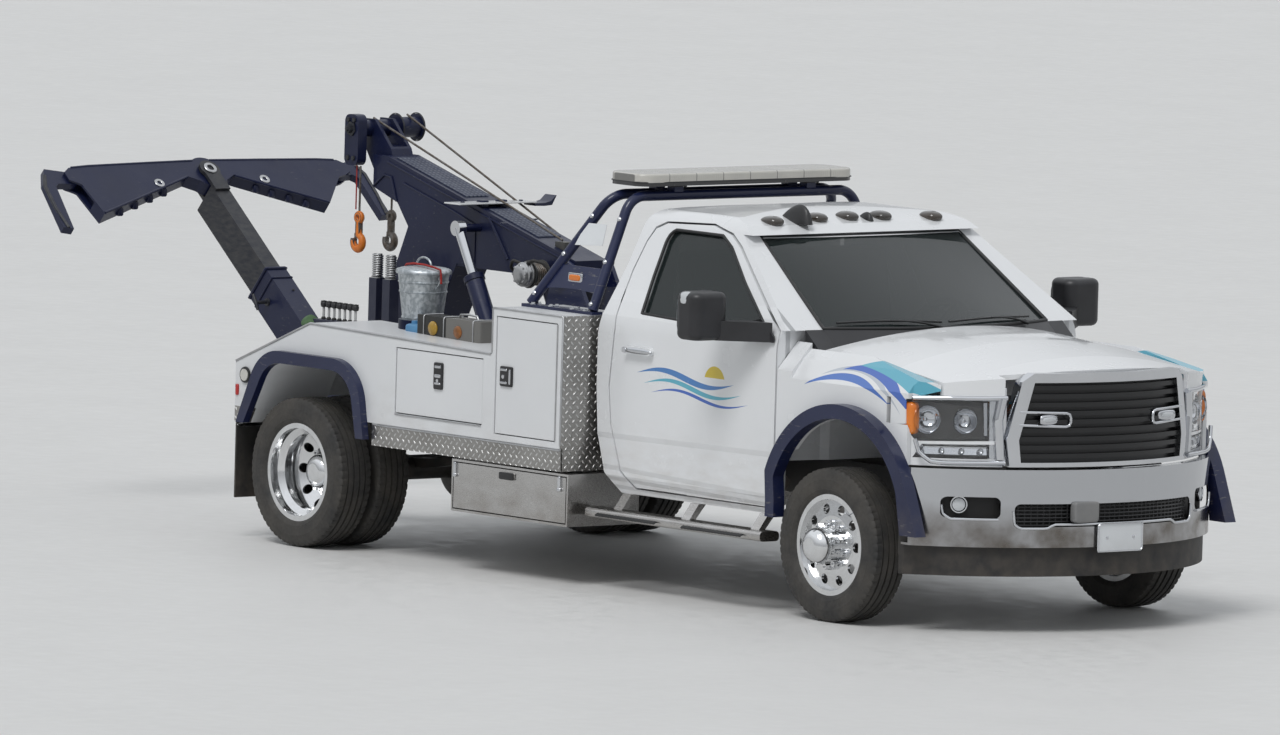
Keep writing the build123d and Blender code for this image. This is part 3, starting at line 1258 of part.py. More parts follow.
def build_lid(name, side, door, face_y, latch):
    """Locker door that fills its mouth with a gap, with its latch set in."""
    low_x, low_z, high_x, high_z = door
    with BuildPart() as lid:
        with BuildSketch(side_plane(side * face_y)) as panel:
            with Locations(((low_x + high_x) / 2, (low_z + high_z) / 2)):
                Rectangle(high_x - low_x - 2 * LID_GAP, high_z - low_z - 2 * LID_GAP)
        extrude(panel.sketch, amount=side * LID_THICKNESS)
        latch_x, latch_z, latch_width, latch_height = latch
        with BuildSketch(side_plane(side * face_y)) as paddle:
            with Locations((latch_x, latch_z)):
                RectangleRounded(latch_width, latch_height, 8)
        extrude(paddle.sketch, amount=-side * 6)
    finish(lid, name)


LIDS = (
    # name, opening, y of the outer face, latch as station, height, width and height
    ("low_door", LOW_DOOR, BODY_HALF - 4, (1216.0, 1018.0, 70.0, 138.0)),
    ("tall_door", TALL_DOOR, BODY_HALF - 4, (TALL_DOOR[0] + 95.0, 1064.0, 100.0, 100.0)),
    ("under_door", (UNDER_BOX[0] + 12, UNDER_BOX[1] + 12, UNDER_BOX[2] - 12, UNDER_BOX[3] - 12),
     BODY_HALF - 25, (1790.0, 540.0, 120.0, 34.0)),
)
for lid_name, door, face_y, latch in LIDS:
    for side_name, side in SIDES:
        build_lid(f"{lid_name}_{side_name}", side, door, face_y, latch)


# Pylon: bent tubes that stand on the tall boxes and carry the light bar over the cab roof.
def tube_path(points, radii):
    """Path of straight runs with rounded corners through the given points."""
    with BuildLine() as path:
        FilletPolyline(*[place(*point) for point in points], radius=radii)
    return path


def sweep_tube(points, radius, bend):
    """Round tube along a path of straight runs and one bend radius."""
    path = tube_path(points, bend)
    start = Plane(origin=path.line @ 0, z_dir=path.line % 0)
    with BuildPart() as tube:
        with BuildSketch(start) as section:
            Circle(radius)
        sweep(section.sketch, path=path.line)
    return tube.part


PYLON_HOOPS = (
    # foot station, crown station
    (TALL_REAR + 24.0, TALL_FRONT - 204.0),
    (TALL_FRONT - 50.0, TALL_FRONT - 50.0),
)
with BuildPart() as pylon:
    for foot_x, crown_x in PYLON_HOOPS:
        points = [(foot_x, PYLON_FOOT_Y, TALL_TOP + 20), (crown_x, PYLON_CROWN_Y, PYLON_CROWN_Z),
                  (crown_x, -PYLON_CROWN_Y, PYLON_CROWN_Z), (foot_x, -PYLON_FOOT_Y, TALL_TOP + 20)]
        add(sweep_tube(points, PYLON_TUBE, PYLON_BEND))
    for name, side in SIDES:
        with BuildSketch(level_plane(TALL_TOP)) as rail:
            with Locations(((TALL_REAR + TALL_FRONT) / 2 - 12, side * PYLON_FOOT_Y)):
                Rectangle(TALL_FRONT - TALL_REAR, 70)
        extrude(rail.sketch, amount=16)
    for foot_x, crown_x in PYLON_HOOPS:
        with BuildSketch(level_plane(PYLON_CROWN_Z + PYLON_TUBE - 8)) as saddle:
            with Locations((crown_x, 450), (crown_x, -450)):
                Rectangle(60, 60)
        extrude(saddle.sketch, amount=LIGHT_BAR_Z - PYLON_CROWN_Z - PYLON_TUBE + 8)
finish(pylon, "pylon")

with BuildPart() as light_bar:
    with BuildSketch(level_plane(LIGHT_BAR_Z)) as bar:
        with Locations((LIGHT_BAR_X, 0)):
            RectangleRounded(LIGHT_BAR_DEPTH, LIGHT_BAR_WIDTH, 90)
    extrude(bar.sketch, amount=LIGHT_BAR_HEIGHT)
    fillet(light_bar.edges().group_by(Axis.Z)[-1], 12)
finish(light_bar, "light_bar")

with BuildPart() as flaps:
    for name, side in SIDES:
        with BuildSketch(cross_plane(MUD_FLAP_X)) as flap:
            with Locations((side * (BODY_HALF - 260), 425)):
                Rectangle(520, 410)
        extrude(flap.sketch, amount=12)
finish(flaps, "mud_flaps")


ROOF_LAMPS = (
    # station, y
    (3125.0, -538.0),
    (3095.0, -217.0),
    (3085.0, 0.0),
    (3095.0, 217.0),
    (3125.0, 538.0),
)


# Lamps: five on the roof, one marker and one red lamp on each side, and the tail lamps.
with BuildPart() as lamps:
    for station, y in ROOF_LAMPS:
        with BuildSketch(level_plane(ROOF_LIP_Z - 30)) as lamp:
            with Locations((station, y)):
                RectangleRounded(88, 66, 26)
        extrude(lamp.sketch, amount=76, taper=16)
    add(outer_form, mode=Mode.SUBTRACT)
    for name, side in SIDES:
        with BuildSketch(side_plane(side * BODY_HALF)) as marker:
            with Locations((SIDE_MARKER_X, SIDE_MARKER_Z)):
                Circle(32)
        extrude(marker.sketch, amount=-side * 16)
    with BuildSketch(cross_plane(BODY_REAR)) as tail:
        with Locations((1150, 820), (-1150, 820), (960, 820), (-960, 820)):
            Circle(55)
    extrude(tail.sketch, amount=-20)
finish(lamps, "marker_lamps")


# Deck gear: control levers, spring posts, tow light box and the galvanised bucket.
with BuildPart() as deck_gear:
    for name, side in SIDES:
        for index in range(LEVERS):
            station = LEVER_REAR + index * LEVER_PITCH
            with BuildSketch(level_plane(1180)) as rod:
                with Locations((station, side * LEVER_Y)):
                    Circle(7)
            extrude(rod.sketch, amount=KNOB_Z - 1180)
            with BuildSketch(level_plane(KNOB_Z)) as knob:
                with Locations((station, side * LEVER_Y)):
                    Circle(16)
            extrude(knob.sketch, amount=32)
        with BuildSketch(level_plane(LEVER_FOOT)) as bank:
            with Locations((LEVER_REAR + (LEVERS - 1) * LEVER_PITCH / 2, side * LEVER_Y)):
                Rectangle(LEVERS * LEVER_PITCH + 20, 90)
        extrude(bank.sketch, amount=1196 - LEVER_FOOT)
    for station in POSTS:
        with BuildSketch(level_plane(DECK_Z)) as post:
            with Locations((station, POST_Y)):
                Rectangle(64, 64)
        extrude(post.sketch, amount=POST_TOP - DECK_Z)
        with BuildSketch(level_plane(POST_TOP)) as spring:
            with Locations((station, POST_Y)):
                Circle(24)
        extrude(spring.sketch, amount=130)
    with BuildSketch(level_plane(BODY_FRONT_Z)) as box:
        with Locations((960, -900)):
            RectangleRounded(540, 130, 20)
    extrude(box.sketch, amount=122)
    add(side_boxes.part, mode=Mode.SUBTRACT)
finish(deck_gear, "deck_gear")

with BuildPart() as bucket:
    with BuildSketch(level_plane(BUCKET_Z)) as base:
        with Locations((BUCKET_X, BUCKET_Y)):
            Circle(BUCKET_BASE)
    with BuildSketch(level_plane(BUCKET_Z + BUCKET_HEIGHT)) as rim:
        with Locations((BUCKET_X, BUCKET_Y)):
            Circle(BUCKET_TOP)
    loft()
    with BuildSketch(level_plane(BUCKET_Z + BUCKET_HEIGHT - 6)) as lid:
        with Locations((BUCKET_X, BUCKET_Y)):
            Circle(BUCKET_TOP + 8)
    extrude(lid.sketch, amount=22)
    with BuildSketch(level_plane(BODY_FRONT_Z)) as holder:
        with Locations((BUCKET_X, BUCKET_Y)):
            Circle(BUCKET_BASE + 20)
    extrude(holder.sketch, amount=BUCKET_Z - BODY_FRONT_Z)
    add(side_boxes.part, mode=Mode.SUBTRACT)
finish(bucket, "bucket")


HEAD_X = -898.0
HEAD_Z = 2148.0
HEAD_BLOCK_Y = -160.0
HEAD_ROLLERS = (
    # y of each end, radius
    (-135.0, 262.0, 45.0),
    (110.0, 118.0, 72.0),
    (118.0, 250.0, 56.0),
    (250.0, 258.0, 72.0),
)


# Boom: a box beam rising rearwards from its pivot, with the L-shaped leg that hangs down behind.
with BuildPart() as boom:
    with BuildSketch(side_plane(0)) as beam:
        with BuildLine():
            Polyline(
                (BOOM_PIVOT_X + 60, BOOM_PIVOT_Z - 70), (BOOM_PIVOT_X + 60, 1575), (-684, 2015),
                (-800, 2015), (-800, 1840), (-585, 1770), (-486, 1648), (-604, 1393), (-960, 560),
                (-960, LEG_FOOT_Z - 70), (-800, LEG_FOOT_Z - 70), (-760, 520), (-640, 640), (-230, 1150),
                (-58, 1470),
                (471, 1470), (700, 1430), (BOOM_PIVOT_X + 60, BOOM_PIVOT_Z - 70),
            )
        make_face()
    extrude(beam.sketch, amount=BOOM_HALF, both=True)
    with BuildSketch(side_plane(0)) as slot:
        with Locations((LEG_FOOT_X, LEG_FOOT_Z)):
            Circle(150)
        with BuildLine():
            Polyline((-780, 340), (-780, 488), (-864, 806), (-1100, 806), (-1100, 340), (-780, 340))
        make_face()
    extrude(slot.sketch, amount=BOOM_HALF - 22, both=True, mode=Mode.SUBTRACT)
    with BuildSketch(side_plane(0)) as eyes:
        with Locations((BOOM_PIVOT_X, BOOM_PIVOT_Z)):
            Circle(BOOM_PIN + PIN_CLEARANCE)
        with Locations((LEG_FOOT_X, LEG_FOOT_Z)):
            Circle(STINGER_PIN + PIN_CLEARANCE)
    extrude(eyes.sketch, amount=BOOM_HALF + 5, both=True, mode=Mode.SUBTRACT)
    with BuildSketch(side_plane(0)) as lugs:
        with Locations(CYLINDER_TOP):
            Circle(ROD_PIN)
    extrude(lugs.sketch, amount=CYLINDER_Y - EYE_HALF - 5, both=True)
    with BuildSketch(side_plane(0)) as neck:
        with BuildLine():
            Polyline((-684, 2012), (-790, 1850), (-958, 2090), (-958, 2200), (-850, 2200), (-700, 2050),
                     (-684, 2012))
        make_face()
    extrude(neck.sketch, amount=70, both=True)
    with BuildSketch(side_plane(0)) as wire_gap:
        with Locations((-850, 2160)):
            Rectangle(400, 200)
    extrude(wire_gap.sketch, amount=50, both=True, mode=Mode.SUBTRACT)
    for start_y, end_y, radius in HEAD_ROLLERS:
        with BuildSketch(side_plane(start_y)) as roller:
            with Locations((HEAD_X, HEAD_Z)):
                Circle(radius)
        extrude(roller.sketch, amount=start_y - end_y)
    with BuildSketch(side_plane(HEAD_BLOCK_Y)) as block:
        with Locations((HEAD_X, 2088)):
            RectangleRounded(117, 276, 40)
    extrude(block.sketch, amount=30, both=True)
finish(boom, "boom")

with BuildPart() as turret:
    with BuildSketch(side_plane(0)) as cheek:
        with BuildLine():
            Polyline((BOOM_PIVOT_X - 250, DECK_Z), (BOOM_PIVOT_X - 80, BOOM_PIVOT_Z + 50),
                     (BOOM_PIVOT_X, BOOM_PIVOT_Z + 80), (BOOM_PIVOT_X + 80, BOOM_PIVOT_Z + 50),
                     (BOOM_PIVOT_X + 420, DECK_Z), (BOOM_PIVOT_X - 250, DECK_Z))
        make_face()
    extrude(cheek.sketch, amount=BOOM_HALF + 6 + 25, both=True)
    with BuildSketch(side_plane(0)) as gap:
        with Locations((BOOM_PIVOT_X + 60, DECK_Z + 350)):
            Rectangle(1000, 700)
    extrude(gap.sketch, amount=BOOM_HALF + 6, both=True, mode=Mode.SUBTRACT)
    with BuildSketch(side_plane(0)) as pin:
        with Locations((BOOM_PIVOT_X, BOOM_PIVOT_Z)):
            Circle(BOOM_PIN)
    extrude(pin.sketch, amount=BOOM_HALF + 50, both=True)
    foot_x, foot_z = CYLINDER_FOOT
    for name, side in SIDES:
        for offset in (-EAR_OFFSET, EAR_OFFSET):
            with BuildSketch(side_plane(side * CYLINDER_Y + offset)) as ear:
                with BuildLine():
                    Polyline((foot_x - 90, DECK_Z), (foot_x - 40, foot_z + 20), (foot_x, foot_z + 44),
                             (foot_x + 40, foot_z + 20), (foot_x + 90, DECK_Z), (foot_x - 90, DECK_Z))
                make_face()
            extrude(ear.sketch, amount=EAR_THICKNESS / 2, both=True)
        with BuildSketch(side_plane(side * CYLINDER_Y)) as foot_pin:
            with Locations(CYLINDER_FOOT):
                Circle(ROD_PIN)
        extrude(foot_pin.sketch, amount=EAR_OFFSET, both=True)
finish(turret, "boom_turret")

WIRE_RADIUS = 6.0
WIRE_Y = (190.0, -40.0)
WIRES = (
    # y, start and end as station and height
    (WIRE_Y[0], (725.0, 1554.0), (-898.0, 2216.0)),
    (WIRE_Y[1], (760.0, 1669.0), (-898.0, 2203.0)),
)
WINCH_STEPS = (
    # distance of each end from the middle, radius: shaft, flange, drum, flange, motor
    (108.0, 145.0, 30.0),
    (145.0, 152.0, 75.0),
    (152.0, 233.0, 56.0),
    (233.0, 240.0, 75.0),
    (240.0, 300.0, 46.0),
)
with BuildPart() as winches:
    for name, side in SIDES:
        for inner, outer, radius in WINCH_STEPS:
            with BuildSketch(side_plane(side * inner)) as drum:
                with Locations((WINCH_X, WINCH_Z)):
                    Circle(radius)
            extrude(drum.sketch, amount=-side * (outer - inner))
    with BuildSketch(side_plane(WIRE_Y[1])) as fairlead:
        with BuildLine():
            Polyline((735, 1637), (815, 1616), (815, 1662), (735, 1662), (735, 1637))
        make_face()
    extrude(fairlead.sketch, amount=30, both=True)
finish(winches, "winches")

HOOKS = (
    # station, y, height of the eye, height of the line's top
    (-848.0, -160.0, 1700.0, 1948.0),
    (-962.0, 150.0, 1690.0, 2148.0),
)
# Two wires from the winches over the rollers at the boom's end, each with the hook that hangs on it.
with BuildPart() as cables:
    for y, wire_start, wire_end in WIRES:
        start = place(wire_start[0], y, wire_start[1])
        end = place(wire_end[0], y, wire_end[1])
        with BuildSketch(Plane(origin=start, z_dir=end - start)) as wire:
            Circle(WIRE_RADIUS)
        extrude(wire.sketch, amount=(end - start).length)
    for station, y, eye_z, line_top in HOOKS:
        with BuildSketch(side_plane(y)) as hook:
            with Locations((station, eye_z - 30)):
                Circle(30)
            with Locations((station, eye_z - 95)):
                Rectangle(34, 110)
            with Locations((station - 6, eye_z - 165)):
                Circle(52)
            with Locations((station - 6, eye_z - 160)):
                Circle(24, mode=Mode.SUBTRACT)
            with Locations((station - 45, eye_z - 130)):
                Rectangle(44, 30, mode=Mode.SUBTRACT)
            with Locations((station, eye_z - 30)):
                Circle(13, mode=Mode.SUBTRACT)
        extrude(hook.sketch, amount=13, both=True)
        with BuildSketch(level_plane(eye_z - 6)) as line:
            with Locations((station, y)):
                Circle(WIRE_RADIUS)
        extrude(line.sketch, amount=line_top - eye_z + 6)
finish(cables, "tow_lines")


# Lift cylinders: barrels that swing on the deck and rods pinned to the boom.
def cylinder_plane(start, end, y):
    """Plane across the line from start to end, both given as station and height."""
    return Plane(origin=place(start[0], y, start[1]), x_dir=(0, 1, 0),
                 z_dir=(end[0] - start[0], 0, end[1] - start[1]))


with BuildPart() as barrels:
    for name, side in SIDES:
        with BuildSketch(cylinder_plane(CYLINDER_FOOT, CYLINDER_TOP, side * CYLINDER_Y)) as barrel:
            Circle(BARREL_RADIUS)
        extrude(barrel.sketch, amount=BARREL_LENGTH)
        with BuildSketch(cylinder_plane(CYLINDER_FOOT, CYLINDER_TOP, side * CYLINDER_Y)) as bore:
            Circle(ROD_RADIUS + PIN_CLEARANCE)
        extrude(bore.sketch, amount=BARREL_LENGTH + 5, mode=Mode.SUBTRACT)
        with BuildSketch(side_plane(side * CYLINDER_Y)) as foot_eye:
            with Locations(CYLINDER_FOOT):
                Circle(BARREL_RADIUS)
        extrude(foot_eye.sketch, amount=BARREL_RADIUS, both=True)
        with BuildSketch(side_plane(side * CYLINDER_Y)) as foot_bore:
            with Locations(CYLINDER_FOOT):
                Circle(ROD_PIN + PIN_CLEARANCE)
        extrude(foot_bore.sketch, amount=BARREL_RADIUS + 5, both=True, mode=Mode.SUBTRACT)
finish(barrels, "lift_barrels")

with BuildPart() as rods:
    for name, side in SIDES:
        with BuildSketch(cylinder_plane(CYLINDER_TOP, CYLINDER_FOOT, side * CYLINDER_Y)) as rod:
            Circle(ROD_RADIUS)
        extrude(rod.sketch, amount=ROD_LENGTH)
        with BuildSketch(side_plane(side * CYLINDER_Y)) as eye:
            with Locations(CYLINDER_TOP):
                Circle(ROD_RADIUS + 14)
        extrude(eye.sketch, amount=EYE_HALF, both=True)
finish(rods, "lift_rods")


# Wheel lift: a sleeve on the leg's foot, the tube that slides in it, and the crossbar on its end.
STINGER_RUN = hypot(CROSSBAR_X - LEG_FOOT_X, CROSSBAR_Z - LEG_FOOT_Z)


def stinger_plane(offset):
    """Plane across the wheel lift at a distance along it from the leg's foot."""
    run = (CROSSBAR_X - LEG_FOOT_X, CROSSBAR_Z - LEG_FOOT_Z)
    return Plane(origin=place(LEG_FOOT_X + run[0] * offset / STINGER_RUN, 0,
                              LEG_FOOT_Z + run[1] * offset / STINGER_RUN),
                 x_dir=(0, 1, 0), z_dir=(run[0], 0, run[1]))


def crossbar_plane(offset):
    """Plane of the crossbar, drawn in y and distance towards the truck, at a depth below its middle."""
    run = (CROSSBAR_X - LEG_FOOT_X, CROSSBAR_Z - LEG_FOOT_Z)
    normal = Vector(-run[1], 0, run[0]).normalized()
    return Plane(origin=place(CROSSBAR_X, 0, CROSSBAR_Z) + normal * offset, x_dir=(0, 1, 0),
                 z_dir=normal)


TUBE_MIDDLE = (TUBE_TOP + TUBE_BOTTOM) / 2
TUBE_DEPTH = TUBE_BOTTOM - TUBE_TOP
with BuildPart() as sleeve:
    with BuildSketch(stinger_plane(100)) as outer:
        with Locations((0, TUBE_MIDDLE)):
            Rectangle(2 * SLEEVE_HALF, TUBE_DEPTH + 2 * (SLEEVE_FIT + SLEEVE_WALL))
            Rectangle(2 * (SLEEVE_HALF - SLEEVE_WALL), TUBE_DEPTH + 2 * SLEEVE_FIT, mode=Mode.SUBTRACT)
    extrude(outer.sketch, amount=SLEEVE_LENGTH - 100)
    with BuildSketch(side_plane(0)) as eye:
        with Locations((LEG_FOOT_X, LEG_FOOT_Z)):
            Circle(72)
    extrude(eye.sketch, amount=SLEEVE_HALF, both=True)
    with BuildSketch(stinger_plane(0)) as neck:
        with Locations((0, TUBE_MIDDLE)):
            Rectangle(2 * SLEEVE_HALF, TUBE_DEPTH + 2 * (SLEEVE_FIT + SLEEVE_WALL))
    extrude(neck.sketch, amount=101)
    with BuildSketch(side_plane(0)) as eye_bore:
        with Locations((LEG_FOOT_X, LEG_FOOT_Z)):
            Circle(STINGER_PIN + PIN_CLEARANCE)
    extrude(eye_bore.sketch, amount=SLEEVE_HALF + 5, both=True, mode=Mode.SUBTRACT)
finish(sleeve, "stinger_sleeve")

with BuildPart() as stinger:
    with BuildSketch(stinger_plane(STINGER_RUN - TUBE_LENGTH)) as bar:
        with Locations((0, TUBE_MIDDLE)):
            Rectangle(2 * TUBE_HALF, TUBE_DEPTH)
    extrude(bar.sketch, amount=TUBE_LENGTH - CROSSBAR_HUB - 6)
    for level in (-66, 46):
        with BuildSketch(crossbar_plane(level)) as ear:
            Circle(62)
            with Locations((0, 80)):
                Rectangle(100, 160)
        extrude(ear.sketch, amount=20)
    with BuildSketch(crossbar_plane(-66)) as pin:
        Circle(CROSSBAR_PIN)
    extrude(pin.sketch, amount=132)
finish(stinger, "stinger_tube")

WINGS = (
    # side, y where the wing leaves the bar's end, y and reach of its low corner
    (1, 870.0, 690.0, 270.0),
    (-1, 905.0, 878.0, 297.0),
)
with BuildPart() as crossbar:
    with BuildSketch(crossbar_plane(-CROSSBAR_HALF)) as plate:
        Circle(CROSSBAR_HUB)
        for side, root_y, corner_y, corner_reach in WINGS:
            with BuildLine():
                Polyline((side * 40, -92), (side * 790, -75), (side * CLAW_PIVOT_Y, -62),
                         (side * (CLAW_PIVOT_Y + 45), -30), (side * (CLAW_PIVOT_Y + 45), 30),
                         (side * CLAW_PIVOT_Y, 55), (side * root_y, 70), (side * corner_y, corner_reach),
                         (side * 160, 30), (side * 40, 95), (side * 40, -92))
            make_face()
        Circle(CROSSBAR_PIN + PIN_CLEARANCE, mode=Mode.SUBTRACT)
    extrude(plate.sketch, amount=2 * CROSSBAR_HALF)
    for side in (1, -1):
        with BuildSketch(crossbar_plane(-CLAW_HALF - 6)) as slot:
            with Locations((side * CLAW_PIVOT_Y, 0)):
                Circle(CLAW_EYE + 8)
            with Locations((side * (CLAW_PIVOT_Y + 30), 0)):
                Rectangle(200, 400)
        extrude(slot.sketch, amount=2 * CLAW_HALF + 12, mode=Mode.SUBTRACT)
        with BuildSketch(crossbar_plane(-CROSSBAR_HALF + 2)) as pin:
            with Locations((side * CLAW_PIVOT_Y, 0)):
                Circle(CLAW_PIN)
        extrude(pin.sketch, amount=2 * CROSSBAR_HALF - 4)
finish(crossbar, "crossbar")


CLAWS = (
    # name, side, corners of the arm from its outer corner round to its inner root, as y and reach
    ("left", 1, ((1025.0, -66.0), (1080.0, 10.0), (1068.0, 358.0), (1010.0, 362.0), (1015.0, 60.0))),
    ("right", -1, ((1075.0, -76.0), (1132.0, 30.0), (1190.0, 375.0), (1130.0, 390.0), (1066.0, 60.0))),
)


def build_claw(name, side, corners):
    """L-shaped wheel claw that swings on a pin at the crossbar's end."""
    with BuildPart() as claw:
        with BuildSketch(crossbar_plane(-CLAW_HALF)) as hook:
            with Locations((side * CLAW_PIVOT_Y, 0)):
                Circle(CLAW_EYE)
            with BuildLine():
                Polyline((side * CLAW_PIVOT_Y, -CLAW_EYE), *[(side * y, reach) for y, reach in corners],
                         (side * (corners[-1][0] - 26), CLAW_EYE - 4), (side * CLAW_PIVOT_Y, CLAW_EYE),
                         (side * CLAW_PIVOT_Y, -CLAW_EYE))
            make_face()
            with Locations((side * CLAW_PIVOT_Y, 0)):
                Circle(CLAW_PIN + PIN_CLEARANCE, mode=Mode.SUBTRACT)
        extrude(hook.sketch, amount=2 * CLAW_HALF)
    finish(claw, f"claw_{name}")


for claw_name, side, corners in CLAWS:
    build_claw(claw_name, side, corners)
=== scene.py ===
import json
from math import cos, hypot, pi, radians, sin
import bmesh
import bpy
import numpy as np
from mathutils import Matrix, Vector


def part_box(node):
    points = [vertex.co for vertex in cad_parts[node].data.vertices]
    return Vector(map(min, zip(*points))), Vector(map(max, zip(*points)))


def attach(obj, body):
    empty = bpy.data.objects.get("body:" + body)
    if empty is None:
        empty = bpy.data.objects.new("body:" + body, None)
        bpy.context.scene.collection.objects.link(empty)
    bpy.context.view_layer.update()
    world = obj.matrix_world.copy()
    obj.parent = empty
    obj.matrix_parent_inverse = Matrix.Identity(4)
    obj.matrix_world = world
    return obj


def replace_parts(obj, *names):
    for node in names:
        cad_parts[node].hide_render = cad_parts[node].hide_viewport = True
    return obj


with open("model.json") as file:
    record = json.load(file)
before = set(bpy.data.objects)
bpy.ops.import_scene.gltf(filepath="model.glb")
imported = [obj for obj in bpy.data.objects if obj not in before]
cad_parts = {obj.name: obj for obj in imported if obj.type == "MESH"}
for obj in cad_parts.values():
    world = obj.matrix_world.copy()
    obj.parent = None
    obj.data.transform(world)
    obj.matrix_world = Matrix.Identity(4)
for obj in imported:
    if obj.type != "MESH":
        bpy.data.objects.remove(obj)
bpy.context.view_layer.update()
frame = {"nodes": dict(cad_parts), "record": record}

# Studio: the photographer's place, far off to the front right of the truck and low, with a long lens.
# Azimuth, elevation and roll turn the view; the target is a point in the plane y = -1 m.
VIEW_AZIMUTH, VIEW_ELEVATION, VIEW_ROLL = radians(50.942), radians(4.87), radians(1.649)
VIEW_TARGET, VIEW_DISTANCE = Vector((1.229767, -1.0, 1.175671)), 90.0
FOCAL_PIXELS, PHOTO_WIDTH, SENSOR_WIDTH = 17249.785, 1280, 36.0
back = Vector((sin(VIEW_AZIMUTH) * cos(VIEW_ELEVATION), -cos(VIEW_AZIMUTH) * cos(VIEW_ELEVATION),
               sin(VIEW_ELEVATION)))
level_right = Vector((cos(VIEW_AZIMUTH), sin(VIEW_AZIMUTH), 0))
level_up = back.cross(level_right)
right = cos(VIEW_ROLL) * level_right + sin(VIEW_ROLL) * level_up
up = -sin(VIEW_ROLL) * level_right + cos(VIEW_ROLL) * level_up
lens = bpy.data.cameras.new("photo_camera")
lens.sensor_width = SENSOR_WIDTH
lens.sensor_fit = "HORIZONTAL"
lens.lens = FOCAL_PIXELS / PHOTO_WIDTH * SENSOR_WIDTH
lens.clip_start = 1.0
lens.clip_end = 400.0
camera = bpy.data.objects.new("photo_camera", lens)
spot = VIEW_TARGET + back * VIEW_DISTANCE
camera.matrix_world = Matrix(((right.x, up.x, back.x, spot.x), (right.y, up.y, back.y, spot.y),
                              (right.z, up.z, back.z, spot.z), (0, 0, 0, 1)))
bpy.context.scene.collection.objects.link(camera)
bpy.context.scene.camera = camera
bpy.context.scene.view_settings.view_transform = "Standard"


# Soft daylight: one broad sun high on the camera's side and an even sky. The sky that the camera, metal
# and glass see is pale and a little darker towards the horizon, so that chrome keeps its form.
class Field:
    """A value that changes over a surface, as a node's output. + - * / ** and abs put it through a Math
    node; the other value is a number or a field."""

    def __init__(self, socket):
        self.socket, self.tree = socket, socket.id_data

    def calc(self, operation, second=0.0, first=None):
        """One Math node of this field and a second value; a first value takes the field's place."""
        node = self.tree.nodes.new("ShaderNodeMath")
        node.operation = operation
        put(self if first is None else first, node.inputs[0])
        put(second, node.inputs[1])
        return Field(node.outputs[0])

    def __add__(self, other):
        return self.calc("ADD", other)

    def __sub__(self, other):
        return self.calc("SUBTRACT", other)

    def __rsub__(self, other):
        return self.calc("SUBTRACT", self, other)

    def __mul__(self, other):
        return self.calc("MULTIPLY", other)

    def __truediv__(self, other):
        return self.calc("DIVIDE", other)

    def __pow__(self, other):
        return self.calc("POWER", other)

    def __abs__(self):
        return self.calc("ABSOLUTE")

    def most(self, other):
        return self.calc("MAXIMUM", other)


def put(value, socket):
    """Joins a field to a node's input, or sets that input to a number or a colour."""
    if isinstance(value, Field):
        socket.id_data.links.new(value.socket, socket)
    else:
        socket.default_value = (*value, 1) if isinstance(value, tuple) else value


def ramp(value, low, high, least=0.0, most=1.0):
    """Least at low, most at high, straight between and level beyond; low may be the larger of the two."""
    node = value.tree.nodes.new("ShaderNodeMapRange")
    for name, number in (("Value", value), ("From Min", low), ("From Max", high), ("To Min", least), ("To Max", most)):
        put(number, node.inputs[name])
    return Field(node.outputs["Result"])


def mixed(mask, first, second):
    """Colour that is the first where the mask is 0 and the second where it is 1."""
    node = mask.tree.nodes.new("ShaderNodeMix")
    node.data_type = "RGBA"
    for index, value in ((0, mask), (6, first), (7, second)):
        put(value, node.inputs[index])
    return Field(node.outputs[2])


world = bpy.data.worlds.new("sky")
bpy.context.scene.world = world
world.use_nodes = True
sky = world.node_tree
sky.nodes.clear()
direction = sky.nodes.new("ShaderNodeTexCoord")
split = sky.nodes.new("ShaderNodeSeparateXYZ")
sky.links.new(direction.outputs["Generated"], split.inputs[0])
shades = mixed(ramp(Field(split.outputs["Z"]), -0.05, 0.55), (0.34, 0.35, 0.36), (0.93, 0.96, 1.0))
rays = sky.nodes.new("ShaderNodeLightPath")
seen = Field(rays.outputs["Is Camera Ray"]).most(Field(rays.outputs["Is Glossy Ray"]))
seen = seen.most(Field(rays.outputs["Is Transmission Ray"]))
shown = sky.nodes.new("ShaderNodeBackground")
put(shades, shown.inputs["Color"])
plain = sky.nodes.new("ShaderNodeBackground")
put((0.93, 0.97, 1.0), plain.inputs["Color"])
put(0.44, plain.inputs["Strength"])
choice = sky.nodes.new("ShaderNodeMixShader")
sky_out = sky.nodes.new("ShaderNodeOutputWorld")
put(seen, choice.inputs[0])
sky.links.new(plain.outputs[0], choice.inputs[1])
sky.links.new(shown.outputs[0], choice.inputs[2])
sky.links.new(choice.outputs[0], sky_out.inputs["Surface"])
SUN_TURN, SUN_HEIGHT = radians(28), radians(54)
sun = bpy.data.lights.new("soft_sun", "SUN")
sun.energy = 1.5
sun.angle = radians(24)
sun_lamp = bpy.data.objects.new("soft_sun", sun)
sun_from = Vector((sin(SUN_TURN) * cos(SUN_HEIGHT), -cos(SUN_TURN) * cos(SUN_HEIGHT), sin(SUN_HEIGHT)))
sun_lamp.rotation_euler = sun_from.to_track_quat("Z", "Y").to_euler()
bpy.context.scene.collection.objects.link(sun_lamp)


# Floor: a pale seamless ground of plain matt concrete under the wheels, far larger than the view.
def blank_finish(name, metal=0.0, coat=0.0):
    """An empty Principled material and its shader."""
    finish = bpy.data.materials.new(name)
    finish.use_nodes = True
    shader = finish.node_tree.nodes["Principled BSDF"]
    put(metal, shader.inputs["Metallic"])
    put(coat, shader.inputs["Coat Weight"])
    put(0.06, shader.inputs["Coat Roughness"])
    return finish, shader


